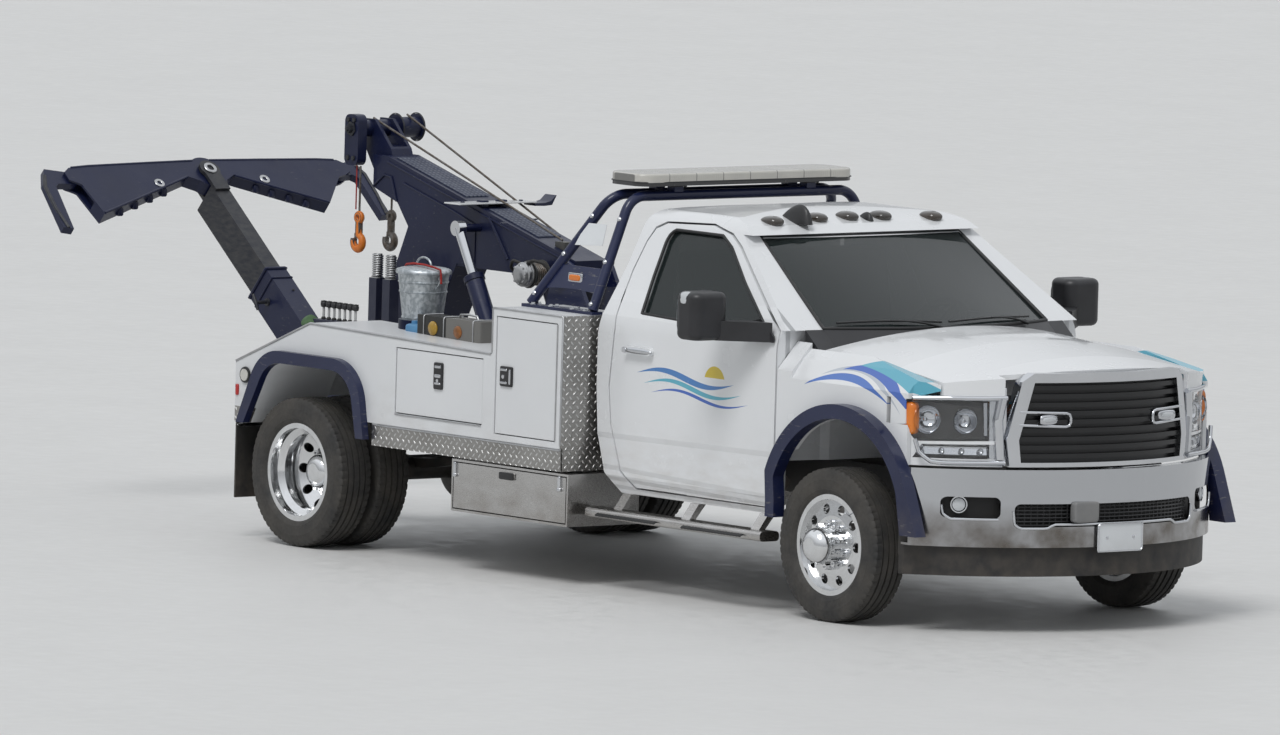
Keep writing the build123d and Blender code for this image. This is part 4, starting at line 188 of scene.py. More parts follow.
def noise(shader, scale, detail=3.0, stretch=(1.0, 1.0, 1.0)):
    """Fractal noise from 0 to 1 over the piece's own metres, each axis multiplied by its stretch."""
    tree = shader.id_data
    where = tree.nodes.new("ShaderNodeTexCoord")
    mapping = tree.nodes.new("ShaderNodeMapping")
    mapping.inputs["Scale"].default_value = stretch
    field = tree.nodes.new("ShaderNodeTexNoise")
    put(scale, field.inputs["Scale"])
    put(detail, field.inputs["Detail"])
    tree.links.new(where.outputs["Object"], mapping.inputs["Vector"])
    tree.links.new(mapping.outputs["Vector"], field.inputs["Vector"])
    return Field(field.outputs["Fac"])


def set_looks(shader, colour, rough, height=None, depth=0.0):
    """Colour, roughness, and relief from a height field from 0 to 1 that is so many metres deep."""
    put(colour, shader.inputs["Base Color"])
    put(rough, shader.inputs["Roughness"])
    if depth:
        bump = shader.id_data.nodes.new("ShaderNodeBump")
        put(1.0, bump.inputs["Strength"])
        put(depth, bump.inputs["Distance"])
        put(height, bump.inputs["Height"])
        put(Field(bump.outputs["Normal"]), shader.inputs["Normal"])


def quads(rows, columns, round_rows=False, round_columns=True):
    """Corner numbers of the cells of a grid; a round direction joins its last line to its first."""
    i, j = np.meshgrid(np.arange(rows - (not round_rows)), np.arange(columns - (not round_columns)),
                       indexing="ij")
    k, m = (i + 1) % rows, (j + 1) % columns
    return np.stack([i * columns + j, i * columns + m, k * columns + m, k * columns + j],
                    -1).reshape(-1, 4).tolist()


concrete, shader = blank_finish("pale_concrete")
set_looks(shader, mixed(noise(shader, 1.3, 6), (0.70, 0.695, 0.685), (0.76, 0.755, 0.745)),
          ramp(noise(shader, 9, 4), -0.4, 1.2), noise(shader, 120, 4), 0.0006)
FLOOR_REACH, FLOOR_LINES = 60.0, 9
reach = np.linspace(-FLOOR_REACH, FLOOR_REACH, FLOOR_LINES)
u, v = np.meshgrid(reach, reach)
floor_mesh = bpy.data.meshes.new("floor")
floor_mesh.from_pydata(np.stack([u, v, np.zeros_like(u)], -1).reshape(-1, 3).tolist(), [],
                       quads(FLOOR_LINES, FLOOR_LINES, False, False))
floor_mesh.materials.append(concrete)
floor = bpy.data.objects.new("floor", floor_mesh)
bpy.context.scene.collection.objects.link(floor)


# Ladder frame, axles and knuckles: steel painted satin black at the works, dusty from the road.
def axes(shader):
    """X, Y and Z of the piece's own place in metres."""
    tree = shader.id_data
    where = tree.nodes.new("ShaderNodeTexCoord")
    parts = tree.nodes.new("ShaderNodeSeparateXYZ")
    tree.links.new(where.outputs["Object"], parts.inputs[0])
    return [Field(parts.outputs[name]) for name in "XYZ"]


def patchy(shader, scale, detail, first, second, low=0.3, high=0.7, stretch=(1.0, 1.0, 1.0)):
    """Colour that drifts from the first to the second where fractal noise goes from low to high."""
    return mixed(ramp(noise(shader, scale, detail, stretch), low, high), first, second)


def surface(name, colour, second, rough=(0.4, 0.6), metal=0.0, coat=0.0, patch=5.0, grain=90.0, depth=0.0004,
            dust=None, stretch=(1.0, 1.0, 1.0)):
    """Finish whose colour drifts to a second one in slow patches, with roughness between two values by finer
    noise and a fine grain for relief; dust (height, colour) fades in from that height down to the ground."""
    finish, shader = blank_finish(name, metal, coat)
    colours = patchy(shader, patch, 5, colour, second, 0.32, 0.72, stretch)
    if dust:
        fall = ramp(axes(shader)[2], dust[0], 0.0) * ramp(noise(shader, 14, 6), 0.3, 0.75)
        colours = mixed(fall, colours, dust[1])
    fine = noise(shader, grain, 4, stretch)
    set_looks(shader, colours, ramp(fine, 0.0, 1.0, *rough), fine, depth)
    return finish


def dress(finish, *names):
    """Gives CAD nodes their material; the node's own mesh stays as it is."""
    for name in names:
        materials = frame["nodes"][name].data.materials
        materials.clear()
        materials.append(finish)


ROAD_DUST = (0.115, 0.095, 0.075)
dress(surface("frame_black", (0.018, 0.018, 0.019), (0.034, 0.033, 0.032), (0.42, 0.62), dust=(0.75, ROAD_DUST)),
      "chassis_frame", "front_axle", "rear_axle", "knuckle_left", "knuckle_right")

# Engine with gearbox and shaft, tank and exhaust: raw castings and sheet that nobody paints again. The
# castings are sand cast, the tank and the pipes are rolled and welded.
dress(surface("cast_grey", (0.16, 0.155, 0.15), (0.22, 0.21, 0.20), (0.5, 0.75), metal=0.4, patch=9,
              dust=(0.9, ROAD_DUST)), "engine_and_shaft")
dress(surface("dull_steel", (0.30, 0.29, 0.28), (0.24, 0.19, 0.16), (0.4, 0.6), metal=0.7, patch=12,
              dust=(0.8, ROAD_DUST)), "tank_and_exhaust")


# Tyres: black rubber moulded round steel belts. Four grooves run round the tread, shallow cuts cross the
# shoulders, and two fine ridges run round each side wall.
def add_piece(name, forms, finish, body="chassis", sharp=50.0, bevel=0.0):
    """Mesh from one form or a list of forms, each of them points and the corner numbers of its faces. Faces
    are turned outwards, edges over the sharp angle stay crisp, a bevel in metres rounds them."""
    points, faces, count = [], [], 0
    for form_points, form_faces in [forms] if isinstance(forms, tuple) else forms:
        points.append(np.asarray(form_points, float).reshape(-1, 3))
        faces += [[corner + count for corner in face] for face in form_faces]
        count += len(points[-1])
    mesh = bpy.data.meshes.new(name)
    mesh.from_pydata(np.concatenate(points).tolist(), [], faces)
    form = bmesh.new()
    form.from_mesh(mesh)
    bmesh.ops.remove_doubles(form, verts=form.verts, dist=1e-6)
    bmesh.ops.recalc_face_normals(form, faces=form.faces)
    form.to_mesh(mesh)
    form.free()
    mesh.shade_smooth()
    mesh.set_sharp_from_angle(angle=radians(sharp))
    mesh.materials.append(finish)
    piece = bpy.data.objects.new(name, mesh)
    bpy.context.scene.collection.objects.link(piece)
    if bevel:
        edge = piece.modifiers.new("edge", "BEVEL")
        edge.width = bevel
        edge.segments = 2
        edge.limit_method = "ANGLE"
        edge.angle_limit = radians(sharp)
    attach(piece, body)
    return piece


TYRE_SIDE = np.array([
    # distance from the middle plane and radius in millimetres, from the tread's edge to the bead
    (98.5, 390), (103.5, 380), (108, 364), (111.2, 344), (112, 340), (112.8, 338.5), (112.4, 336), (112.8, 318),
    (111.8, 298), (110, 290), (110.8, 288), (109.4, 286), (105, 274), (100, 268), (94, 264), (87, 256),
    (84, 249.5)]) / 1000
TYRE_HALF = 0.11285
GROOVES, GROOVE_HALF, GROOVE_DEPTH = (-0.057, -0.0195, 0.0195, 0.057), 0.0042, 0.011
TYRE_CUTS, CUT_DEPTH = 60, 0.006


def tyre_form(middle_x, middle_y, middle_z):
    """Tread and sides turned round the axle: the radius falls by the tread's arc and in the grooves, and short
    cuts dip the shoulder at even angles; the inner wall closes the ring."""
    flat = np.concatenate([[g + k * GROOVE_HALF for k in (-1.5, -1.0, 1.0, 1.5)] for g in GROOVES])
    across = np.unique(np.concatenate([[-0.094, -0.088, -0.078, 0.0, 0.078, 0.088, 0.094], flat]))
    near = np.min(np.abs(across[:, None] - np.array(GROOVES)[None]), axis=1)
    tread = 0.4 - 0.55 * across ** 2 - np.where(near <= GROOVE_HALF * 1.01, GROOVE_DEPTH, 0.0)
    side = TYRE_SIDE
    y = np.concatenate([-side[::-1, 0], across, side[:, 0], [0.075, -0.075]])
    r = np.concatenate([side[::-1, 1], tread, side[:, 1], [0.262, 0.262]])
    turns = TYRE_CUTS * 4
    angle = 2 * pi * np.arange(turns) / turns
    cut = (np.arange(turns) % 4 == 0)[None, :] * ((np.abs(y) > 0.077) & (r > 0.375))[:, None] * CUT_DEPTH
    radius = r[:, None] - cut
    points = np.stack([middle_x + radius * np.cos(angle), np.broadcast_to(y[:, None] + middle_y, radius.shape),
                       middle_z + radius * np.sin(angle)], -1)
    return points, quads(len(y), turns, True)


tyre_rubber, shader = blank_finish("tyre_rubber")
scuffed = patchy(shader, 11, 6, (0.022, 0.022, 0.022), (0.045, 0.042, 0.039), 0.38, 0.7)
dusty = ramp(noise(shader, 5, 6), 0.35, 0.8) * 0.55
set_looks(shader, mixed(dusty, scuffed, (0.10, 0.088, 0.072)), ramp(noise(shader, 60, 3), -0.9, 1.1),
          noise(shader, 260, 3), 0.0004)
for node in ("tyre_front_left", "tyre_front_right", "tyre_rear_left", "tyre_rear_right"):
    low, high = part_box(node)
    body = next(name for name, nodes in frame["record"]["behaviour"]["bodies"].items() if node in nodes)
    twin = high.y - low.y > 0.3
    middles = [low.y + TYRE_HALF, high.y - TYRE_HALF] if twin else [(low.y + high.y) / 2]
    forms = [tyre_form((low.x + high.x) / 2, middle, (low.z + high.z) / 2) for middle in middles]
    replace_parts(add_piece(f"{node}_rubber", forms, tyre_rubber, body, sharp=28), node)

# Rims: forged aluminium, polished on the outside and turned in fine rings, with chromed push-on covers over
# the ten nuts and a chromed hub cover.
polished, shader = blank_finish("polished_aluminium", metal=1.0)
set_looks(shader, mixed(noise(shader, 30, 2, (1.0, 30.0, 1.0)), (0.78, 0.79, 0.80), (0.62, 0.62, 0.62)),
          ramp(noise(shader, 18, 5), 0.0, 1.0, 0.07, 0.22))
dress(polished, "rim_front_left", "rim_front_right", "rim_rear_left", "rim_rear_right")
chrome = surface("chrome_trim", (0.62, 0.63, 0.65), (0.54, 0.55, 0.57), (0.03, 0.09), metal=1.0, patch=3,
                 grain=40, depth=0.0)
X, Y, Z = np.eye(3)
SIDES = ((1, "left"), (-1, "right"))


def at(station, y, z):
    """Places in metres from millimetres, with the station counted forwards from the rear axle at x = -1.4 m."""
    return np.stack(np.broadcast_arrays(np.asarray(station) - 1400.0, y, z), -1) / 1000


def skinned(rings, closed=False):
    """Rings of points, each joined to the next all round; unless the last joins the first, both are capped."""
    count, sides = rings.shape[:2]
    caps = [] if closed else [list(range(sides)), list(range((count - 1) * sides, count * sides))]
    return rings, quads(count, sides, closed) + caps


def tube(path, radius, sides=8, across=Y, closed=False):
    """A circle carried along a path in metres. Each ring stands across the path's own direction; its first
    axis is that direction crossed with a fixed one. The radius in millimetres is one or one per point."""
    path = np.asarray(path, float)
    along = np.roll(path, -1, 0) - np.roll(path, 1, 0) if closed else np.gradient(path, axis=0)
    along /= np.linalg.norm(along, axis=1, keepdims=True)
    first = np.cross(along, np.asarray(across, float))
    first /= np.linalg.norm(first, axis=1, keepdims=True)
    second = np.cross(first, along)
    turn = 2 * pi * np.arange(sides)[None, :, None] / sides
    reach = np.broadcast_to(np.asarray(radius, float) / 1000, (len(path),))[:, None, None]
    return skinned(path[:, None] + reach * (np.cos(turn) * first[:, None] + np.sin(turn) * second[:, None]), closed)


def turned(outline, start, axis, turns=24):
    """An outline of (distance along the axis, radius) in millimetres turned round an axis through the start."""
    axis = np.asarray(axis, float) / np.linalg.norm(axis)
    first = np.cross(axis, (0.3, 0.2, 1.0))
    first /= np.linalg.norm(first)
    second = np.cross(axis, first)
    outline = np.asarray(outline, float)[:, None] / 1000
    angle = 2 * pi * np.arange(turns)[:, None] / turns
    ring = np.cos(angle) * first + np.sin(angle) * second
    return start + outline[..., :1] * axis + outline[..., 1:] * ring[None], quads(len(outline), turns)


NUT_COVER = [(0, 0), (0, 19.5), (4, 19.5), (6, 16.5), (26, 15.5), (34, 12), (46, 6.5), (60, 1.8), (61, 0)]
NUTS, NUT_CIRCLE, WHEEL_Z = 10, 112.5, 400
WHEEL_FACES = (("wheel_front", 4280.0, 1031.0), ("wheels_rear", 0.0, 977.0))
for wheel, station, face in WHEEL_FACES:
    for side, name in SIDES:
        forms = []
        for turn in 2 * pi * (np.arange(NUTS) + 0.5) / NUTS:
            foot = at(station + NUT_CIRCLE * cos(turn), side * face, WHEEL_Z + NUT_CIRCLE * sin(turn))
            forms.append(turned(NUT_COVER, foot, side * Y, 14))
        valve = at(station + 150, side * (face + 6), 560)
        forms.append(tube([valve, valve + (0.004, side * 0.02, 0.008), valve + (0.008, side * 0.045, 0.02)],
                          [4.5, 4, 3.5], 10, X))
        add_piece(f"{wheel}_{name}_nut_covers", forms, chrome, f"{wheel}_{name}", sharp=40)

# Cab: pressed steel panels welded together and painted gloss white. A crease runs along the doors at hip
# height and three sill lines below; under them the paint is dusty.
white_paint, shader = blank_finish("white_paint", coat=0.6)
low = ramp(axes(shader)[2], 0.95, 0.42) * ramp(noise(shader, 7, 7, (1, 1, 2.5)), 0.38, 0.85)
set_looks(shader, mixed(low * 0.55, patchy(shader, 1.7, 5, (0.80, 0.81, 0.825), (0.76, 0.77, 0.785), 0.3, 0.75),
                        (0.42, 0.37, 0.31)),
          ramp(noise(shader, 5, 5), 0.0, 1.0, 0.16, 0.34), noise(shader, 420, 2), 0.00006)
dress(white_paint, "hood")


def variant(finish, name):
    """A copy of a finish under its own name, with its shader and its colour and roughness as fields."""
    copy = finish.copy()
    copy.name = name
    shader = copy.node_tree.nodes["Principled BSDF"]
    return copy, shader, *[Field(shader.inputs[key].links[0].from_socket) for key in ("Base Color", "Roughness")]


def far_from(x, z, centre_x, centre_z):
    """Distance from an axis across the truck: the root of the two squares."""
    across, over = x - centre_x, z - centre_z
    return (across * across + over * over).calc("SQRT")


door_paint, shader, colour, rough = variant(white_paint, "white_paint_with_creases")
x, y, z = axes(shader)
CREASES = (
    # height at x = 0.9 m and at x = 2.4 m, width of the step, all in metres
    (0.800, 0.818, 0.014), (0.640, 0.594, 0.012), (0.582, 0.553, 0.010), (0.540, 0.519, 0.010))
steps = []
for rear, front, width in CREASES:
    line = x * ((front - rear) / 1.5) + (rear - (front - rear) * 0.6)
    steps.append(ramp(z - line, -width, width))
DOOR_BANDS = (
    # colour, height of the middle line, its swing, half width at the middle of its length, its rear end
    ((0.055, 0.20, 0.50), 1.150, 0.030, 0.017, 1.22), ((0.10, 0.42, 0.55), 1.100, 0.030, 0.013, 1.28),
    ((0.045, 0.13, 0.50), 1.056, 0.028, 0.009, 1.34))
BAND_LENGTH = 0.80
SUN_X, SUN_Z, SUN_RADIUS, SUN_FOOT = 1.86, 1.150, 0.085, 1.172
on_door = ramp(abs(y), 0.96, 0.965)
disc = ramp(far_from(x, z, SUN_X, SUN_Z), SUN_RADIUS, SUN_RADIUS - 0.001) * ramp(z, SUN_FOOT, SUN_FOOT + 0.001)
colour = mixed(disc * on_door, colour, (0.62, 0.47, 0.035))
for overlay, level, swing, half, rear in DOOR_BANDS:
    share = (x - rear) / BAND_LENGTH
    inside = ramp(share, 0.0, 0.001) * ramp(share, 1.0, 0.999)
    middle = (share * (2 * pi)).calc("SINE") * swing + level
    beyond = abs(z - middle) - (share * pi).calc("SINE") * half
    colour = mixed(ramp(beyond, 0.0006, -0.0006) * inside * on_door, colour, overlay)
set_looks(shader, colour, rough, sum(steps[1:], steps[0]) * ramp(abs(y), 0.93, 0.96), 0.006)
dress(door_paint, "cab_shell", "door_left", "door_right")

# Glass: laminated windscreen and toughened side glass, green-grey tint, in black rubber seals.
tinted, shader = blank_finish("tinted_glass")
put(0.74, shader.inputs["Alpha"])
set_looks(shader, mixed(noise(shader, 1.5, 2), (0.012, 0.018, 0.018), (0.022, 0.030, 0.030)),
          noise(shader, 6, 3) * 0.05)
dress(tinted, "cab_glass", "door_glass_left", "door_glass_right")
seal = surface("seal_rubber", (0.012, 0.012, 0.013), (0.02, 0.02, 0.021), (0.45, 0.65), grain=160)
WINDOW = [(2612, 1457), (2590, 1640), (2578, 1830), (2592, 1872), (2625, 1890), (3010, 1890), (3120, 1835),
          (3335, 1668), (3690, 1425)]
SCREEN_FOOT, SCREEN_TOP = (4020.0, 194.0, 759.0, 1465.0), (3235.0, 42.0, 672.0, 1895.0)


def along_line(corners, step):
    """Points at even steps along a closed run of straight lines, worked out from the length so far."""
    corners = np.asarray(corners + corners[:1], float)
    far = np.concatenate([[0], np.cumsum(np.linalg.norm(np.diff(corners, axis=0), axis=1))])
    s = np.arange(0, far[-1], step)
    return [np.interp(s, far, column) for column in corners.T]


def seat(node, start, direction):
    """Where a ray from the start first meets a CAD node."""
    return np.array(frame["nodes"][node].ray_cast(Vector(start), Vector(direction))[1])


for side, name in SIDES:
    station, height = along_line(WINDOW, 24.0)
    half = 998 - (height - 1430) * (998 - 762) / (1920 - 1430)
    add_piece(f"window_seal_{name}", tube(at(station, side * (half - 3), height), 8.5, 8, (0, 1, 0.2), closed=True),
              seal, f"cab_door_{name}", sharp=60)
t = np.linspace(-1, 1, 33)
foot = at(SCREEN_FOOT[0] - SCREEN_FOOT[1] * t * t - 4, t * (SCREEN_FOOT[2] - 4), SCREEN_FOOT[3] + 6)
top = at(SCREEN_TOP[0] - SCREEN_TOP[1] * t * t - 4, t * (SCREEN_TOP[2] - 2), SCREEN_TOP[3] - 4)
rise = np.linspace(0, 1, 20)[1:-1, None]
ring = np.concatenate([foot, foot[-1] + rise * (top[-1] - foot[-1]), top[::-1], top[0] + rise * (foot[0] - top[0])])
add_piece("windscreen_seal", tube(ring, 10.5, 8, (0.6, 0, 1), closed=True), seal, sharp=60)


# Wipers: two sprung arms of black painted steel with rubber blades, parked at the foot of the windscreen.
def on_screen(across, climb, proud):
    """Place on the glass: arcs at the foot and the top of the windscreen joined by straight lines."""
    low, high = [at(station - sag * (across / half) ** 2, across * width, z) for (station, sag, half, z), width in
                 ((SCREEN_FOOT, 1), (SCREEN_TOP, 0.885))]
    return low + climb * (high - low) + np.array([proud * 0.5, 0, proud])


black_metal = surface("black_trim", (0.014, 0.014, 0.015), (0.022, 0.022, 0.023), (0.3, 0.5), grain=140)
forms = []
for pivot, inner, outer in ((-120, -680, -90), (520, -40, 600)):
    middle = (inner + outer) / 2
    blade = [on_screen(inner + (outer - inner) * t, 0.055 + 0.02 * sin(pi * t), 0.010) for t in np.linspace(0, 1, 14)]
    arm = [on_screen(pivot + (middle - pivot) * t, -0.02 + 0.085 * t, 0.016 + 0.012 * sin(pi * t))
           for t in np.linspace(0, 1, 8)]
    forms += [tube(blade, 6, 8, (0.5, 0, 1)), tube(arm, [9, 8, 7, 6, 6, 5, 5, 5], 8, (0.5, 0, 1))]
add_piece("wipers", forms, black_metal)

# Roof fins: two black aerial fins of moulded plastic, bonded to the roof skin. Each rises to a crest that
# falls off towards its sides and its rear.
ROOF_FINS = ((3108, -372, 0.250, 0.098, 0.036), (3100, 108, 0.110, 0.042, 0.022))
u, v = np.meshgrid(np.linspace(0, 1, 17), np.linspace(-1, 1, 13), indexing="ij")
crest = np.sin(pi * u ** 0.62).clip(0) ** 0.8
grid, walls = np.arange(u.size).reshape(u.shape), []
for edge in (grid[0], grid[-1], grid[:, 0], grid[:, -1]):
    walls += np.stack([edge[:-1], edge[1:], edge[1:] + u.size, edge[:-1] + u.size], -1).tolist()
skin = quads(*u.shape, False, False)
forms = []
for station, y, length, rise, half in ROOF_FINS:
    base = seat("cab_shell", at(station, y, 2400), -Z)
    points = np.stack([base[0] + length * (0.5 - u), base[1] + half * v * (0.35 + 0.65 * crest),
                       base[2] - 0.006 - 0.012 * (0.5 - u) + rise * crest * (1 - np.abs(v) ** 2.2)], -1)
    under = points.copy()
    under[..., 2] = base[2] - 0.012
    forms.append((np.stack([points, under]), skin + [[c + u.size for c in face] for face in skin] + walls))
add_piece("aerial_fins", forms, black_metal)

# Lamps in moulded lenses: smoked on the roof, clear at the sides, red at the rear corners and the tail.
lamp_lens, shader = blank_finish("lamp_lens", coat=0.5)
x, y, z = axes(shader)
tint = mixed(ramp(x, -1.905, -1.91), (0.62, 0.60, 0.56), (0.42, 0.012, 0.010))
set_looks(shader, mixed(ramp(z, 1.5, 1.51), tint, (0.085, 0.075, 0.07)), 0.12,
          ((y + x) * 900.0).calc("SINE") * noise(shader, 30, 2), 0.0012)
dress(lamp_lens, "marker_lamps")


# Door handles: chromed pull bars over the painted recess, one on each door, with a lock at the rear end.
def bent(value, power):
    """A power of a value's size that keeps its sign."""
    return np.sign(value) * np.abs(value) ** power


def pillow(middle, half, powers=(4, 4, 4), rows=13, turns=28):
    """Rounded block: a superellipsoid whose half sizes are given per axis in millimetres; a power of 2 is
    round, more is squarer. The first angle runs from pole to pole along Z and the second round it."""
    t = np.linspace(-pi / 2, pi / 2, rows)[:, None]
    p = 2 * pi * np.arange(turns)[None] / turns
    a, b, c = 2.0 / np.array(powers)
    points = np.stack(np.broadcast_arrays(bent(np.cos(t), c) * bent(np.cos(p), a),
                                          bent(np.cos(t), c) * bent(np.sin(p), b), bent(np.sin(t), c)), -1)
    return points * np.array(half) / 1000 + middle, quads(rows, turns)


def head(start, axis, radius, top_radius, shoulder, top, turns=6):
    """Head of a bolt, a lock or a boss: a short drum whose edge and middle rise to the two heights given."""
    return turned([(0, 0), (0, radius), (shoulder, top_radius), (top, 0)], start, axis, turns)


for side, name in SIDES:
    grip = pillow(at(2652, side * 1035, 1265), (114, 16, 16.5), (3.2, 2.6, 2.4))
    lock = head(at(2548, side * 1046, 1264), side * Y, 16, 15, 4, 5, 20)
    add_piece(f"door_handle_{name}", [grip, lock], chrome, f"cab_door_{name}")

# Roof lamp covers: smoked domes over the five clearance lamps, seated on the roof skin.
roof_lens = surface("roof_lens", (0.030, 0.026, 0.022), (0.055, 0.040, 0.028), (0.08, 0.2), coat=0.6, grain=260)
domes = [pillow(seat("cab_shell", at(station, y, 2400), -Z) + (0, 0, 0.004), (64, 50, 30), (2.6, 3.2, 2.2))
         for station, y in ((3118, -538), (3088, -217), (3078, 0), (3088, 217), (3118, 538))]
add_piece("roof_lamp_lenses", domes, roof_lens)

# Mirrors: black moulded heads on long arms, a clear side lamp at the upper corner, silvered glass behind.
black_moulding = surface("black_moulding", (0.016, 0.016, 0.018), (0.024, 0.024, 0.027), (0.34, 0.5), patch=8,
                         grain=500, depth=0.0002)
dress(black_moulding, "mirror_left", "mirror_right", "cowl")
mirror_glass = surface("mirror_glass", (0.62, 0.66, 0.68), (0.56, 0.60, 0.63), (0.015, 0.05), metal=1.0, depth=0.0)
clear_cap = surface("clear_cap", (0.62, 0.64, 0.66), (0.50, 0.52, 0.54), (0.12, 0.24), coat=0.4, grain=60)
for side, name in SIDES:
    low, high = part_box(f"mirror_{name}")
    outer = high.y if side > 0 else low.y
    add_piece(f"mirror_glass_{name}", pillow((low.x - 0.0015, outer - side * 0.115, 1.523), (4, 88, 98), (2, 5, 5)),
              mirror_glass, f"cab_door_{name}")
    add_piece(f"mirror_cap_{name}", pillow((2.038, outer - side * 0.034, 1.606), (62, 36, 43), (2.4, 2.4, 2.6)),
              clear_cap, f"cab_door_{name}")

# Seats in woven grey cloth over foam, and a black grained dashboard with the steering wheel.
cloth, shader = blank_finish("grey_fabric")
x, y, z = axes(shader)
weave = ramp(((y + z) * 2400.0).calc("SINE") * ((y - z) * 2400.0).calc("SINE"), -1, 1)
set_looks(shader, mixed(weave, (0.15, 0.15, 0.155), (0.21, 0.21, 0.215)), 0.9, weave, 0.0005)
dress(cloth, "seats")
dress(black_moulding, "dashboard")

# Nose: hood, fenders and flares are pressed panels. Sweeping bands of blue, grey and teal film cross each
# fender over the wheel arch; each band lies between two arcs that meet at its ends.
STRIPES = (
    # colour, ends and middle of the outer arc, middle of the inner arc, as station and height in millimetres
    ((0.055, 0.16, 0.52), (3990, 1204), (4310, 1284), (4680, 1150), (4310, 1248)),
    ((0.50, 0.54, 0.60), (4090, 1262), (4430, 1316), (4770, 1110), (4420, 1288)),
    ((0.045, 0.13, 0.50), (4230, 1300), (4580, 1316), (4930, 1040), (4560, 1268)),
    ((0.10, 0.42, 0.55), (4350, 1330), (4720, 1350), (5060, 1130), (4690, 1272)),
)


def in_plane(y, pairs):
    """Places at one y from pairs of station and height."""
    station, z = np.transpose(pairs)
    return at(station, y, z)


def arc_through(*points):
    """Centre and radius of the circle through three points: the squares of their distances from it differ by
    nothing, which gives two straight equations for the centre."""
    first, *others = np.array(points)
    rows = np.array(others) - first
    centre = first + np.linalg.solve(2 * rows, (rows ** 2).sum(1))
    return *map(float, centre), float(np.linalg.norm(first - centre))


fender_paint, shader, colour, rough = variant(white_paint, "white_paint_with_bands")
x, y, z = axes(shader)
on_side = ramp(abs(y), 0.86, 0.865)
for overlay, first, outer, last, inner in STRIPES:
    inside = []
    for middle in (outer, inner):
        centre_x, centre_z, radius = arc_through(*in_plane(0, (first, middle, last))[:, ::2])
        inside.append(ramp(far_from(x, z, centre_x, centre_z), radius + 0.0008, radius - 0.0008))
    colour = mixed(((inside[0] - inside[1]) * on_side).most(0.0), colour, overlay)
set_looks(shader, colour, rough)
dress(fender_paint, "front_fenders")

# Navy two-pack paint on steel and on the fibreglass flares, scratched through in places and dull with use.
navy_paint, shader = blank_finish("navy_paint", coat=0.35)
put(0.3, shader.inputs["Specular IOR Level"])
base = patchy(shader, 2.6, 6, (0.006, 0.010, 0.046), (0.012, 0.018, 0.062), 0.35)
scratch = ramp(noise(shader, 16, 9, (1, 1, 5)), 0.62, 0.70) * ramp(noise(shader, 3, 4), 0.46, 0.62)
low = ramp(axes(shader)[2], 0.8, 0.3) * ramp(noise(shader, 9, 6), 0.4, 0.8)
set_looks(shader, mixed(low * 0.6, mixed(scratch, base, (0.13, 0.125, 0.13)), ROAD_DUST),
          ramp(noise(shader, 7, 6), 0.0, 1.0, 0.26, 0.5), noise(shader, 150, 3), 0.0003)
dress(navy_paint, "wheel_arch_flares", "pylon", "boom_turret", "lift_barrels")

# Grille: chromed surround, black moulded bars, and on each side a chromed loop at mid height with a small
# marker lamp in it. The nose is an arc in plan.
dress(chrome, "grille_surround")
bar_black = surface("bar_black", (0.008, 0.008, 0.009), (0.013, 0.013, 0.014), (0.22, 0.4), grain=200)
dress(bar_black, "grille_bars")
NOSE_ARC = (444.0, 980.0)


def nose(y, front, arc=NOSE_ARC):
    """Station of the nose's surface at a y: an arc whose middle is at front; it falls by a sag at a half width."""
    sag, half = arc
    radius = (half * half + sag * sag) / (2 * sag)
    return front - radius + np.sqrt(radius * radius - np.asarray(y, float) ** 2)


def on_nose(y, z, front, arc=NOSE_ARC):
    """Place on the nose's arc."""
    return at(nose(y, front, arc), y, z)


def nose_path(side, corners, front, arc=NOSE_ARC, step=22.0, closed=False):
    """Corners given as y on one side and height, carried onto the nose's arc at even steps."""
    corners = np.asarray(corners + corners[:1] if closed else corners, float)
    far = np.concatenate([[0], np.cumsum(np.linalg.norm(np.diff(corners, axis=0), axis=1))])
    s = np.linspace(0, far[-1], max(3, int(far[-1] / step)) + 1)
    s = s[:-1] if closed else s
    return on_nose(side * np.interp(s, far, corners[:, 0]), np.interp(s, far, corners[:, 1]), front, arc)


amber = surface("amber_lens", (0.80, 0.22, 0.015), (0.68, 0.16, 0.01), (0.10, 0.2), coat=0.5, grain=300, depth=0.0006)
for side, name in SIDES:
    loop = nose_path(side, [(546, 1145), (292, 1139), (276, 1128), (276, 1080), (292, 1069), (546, 1078)], 5283.0)
    spot = on_nose(side * 396, 1106, 5284.0)
    add_piece(f"grille_loop_{name}", [tube(loop, 8.5, 8, X), pillow(spot, (10, 60, 26), (2, 4, 4), 9, 24)],
              chrome)
    add_piece(f"grille_lamp_{name}", pillow(spot + 0.005 * X, (11, 47, 15), (2, 3, 3), 9, 24), clear_cap)

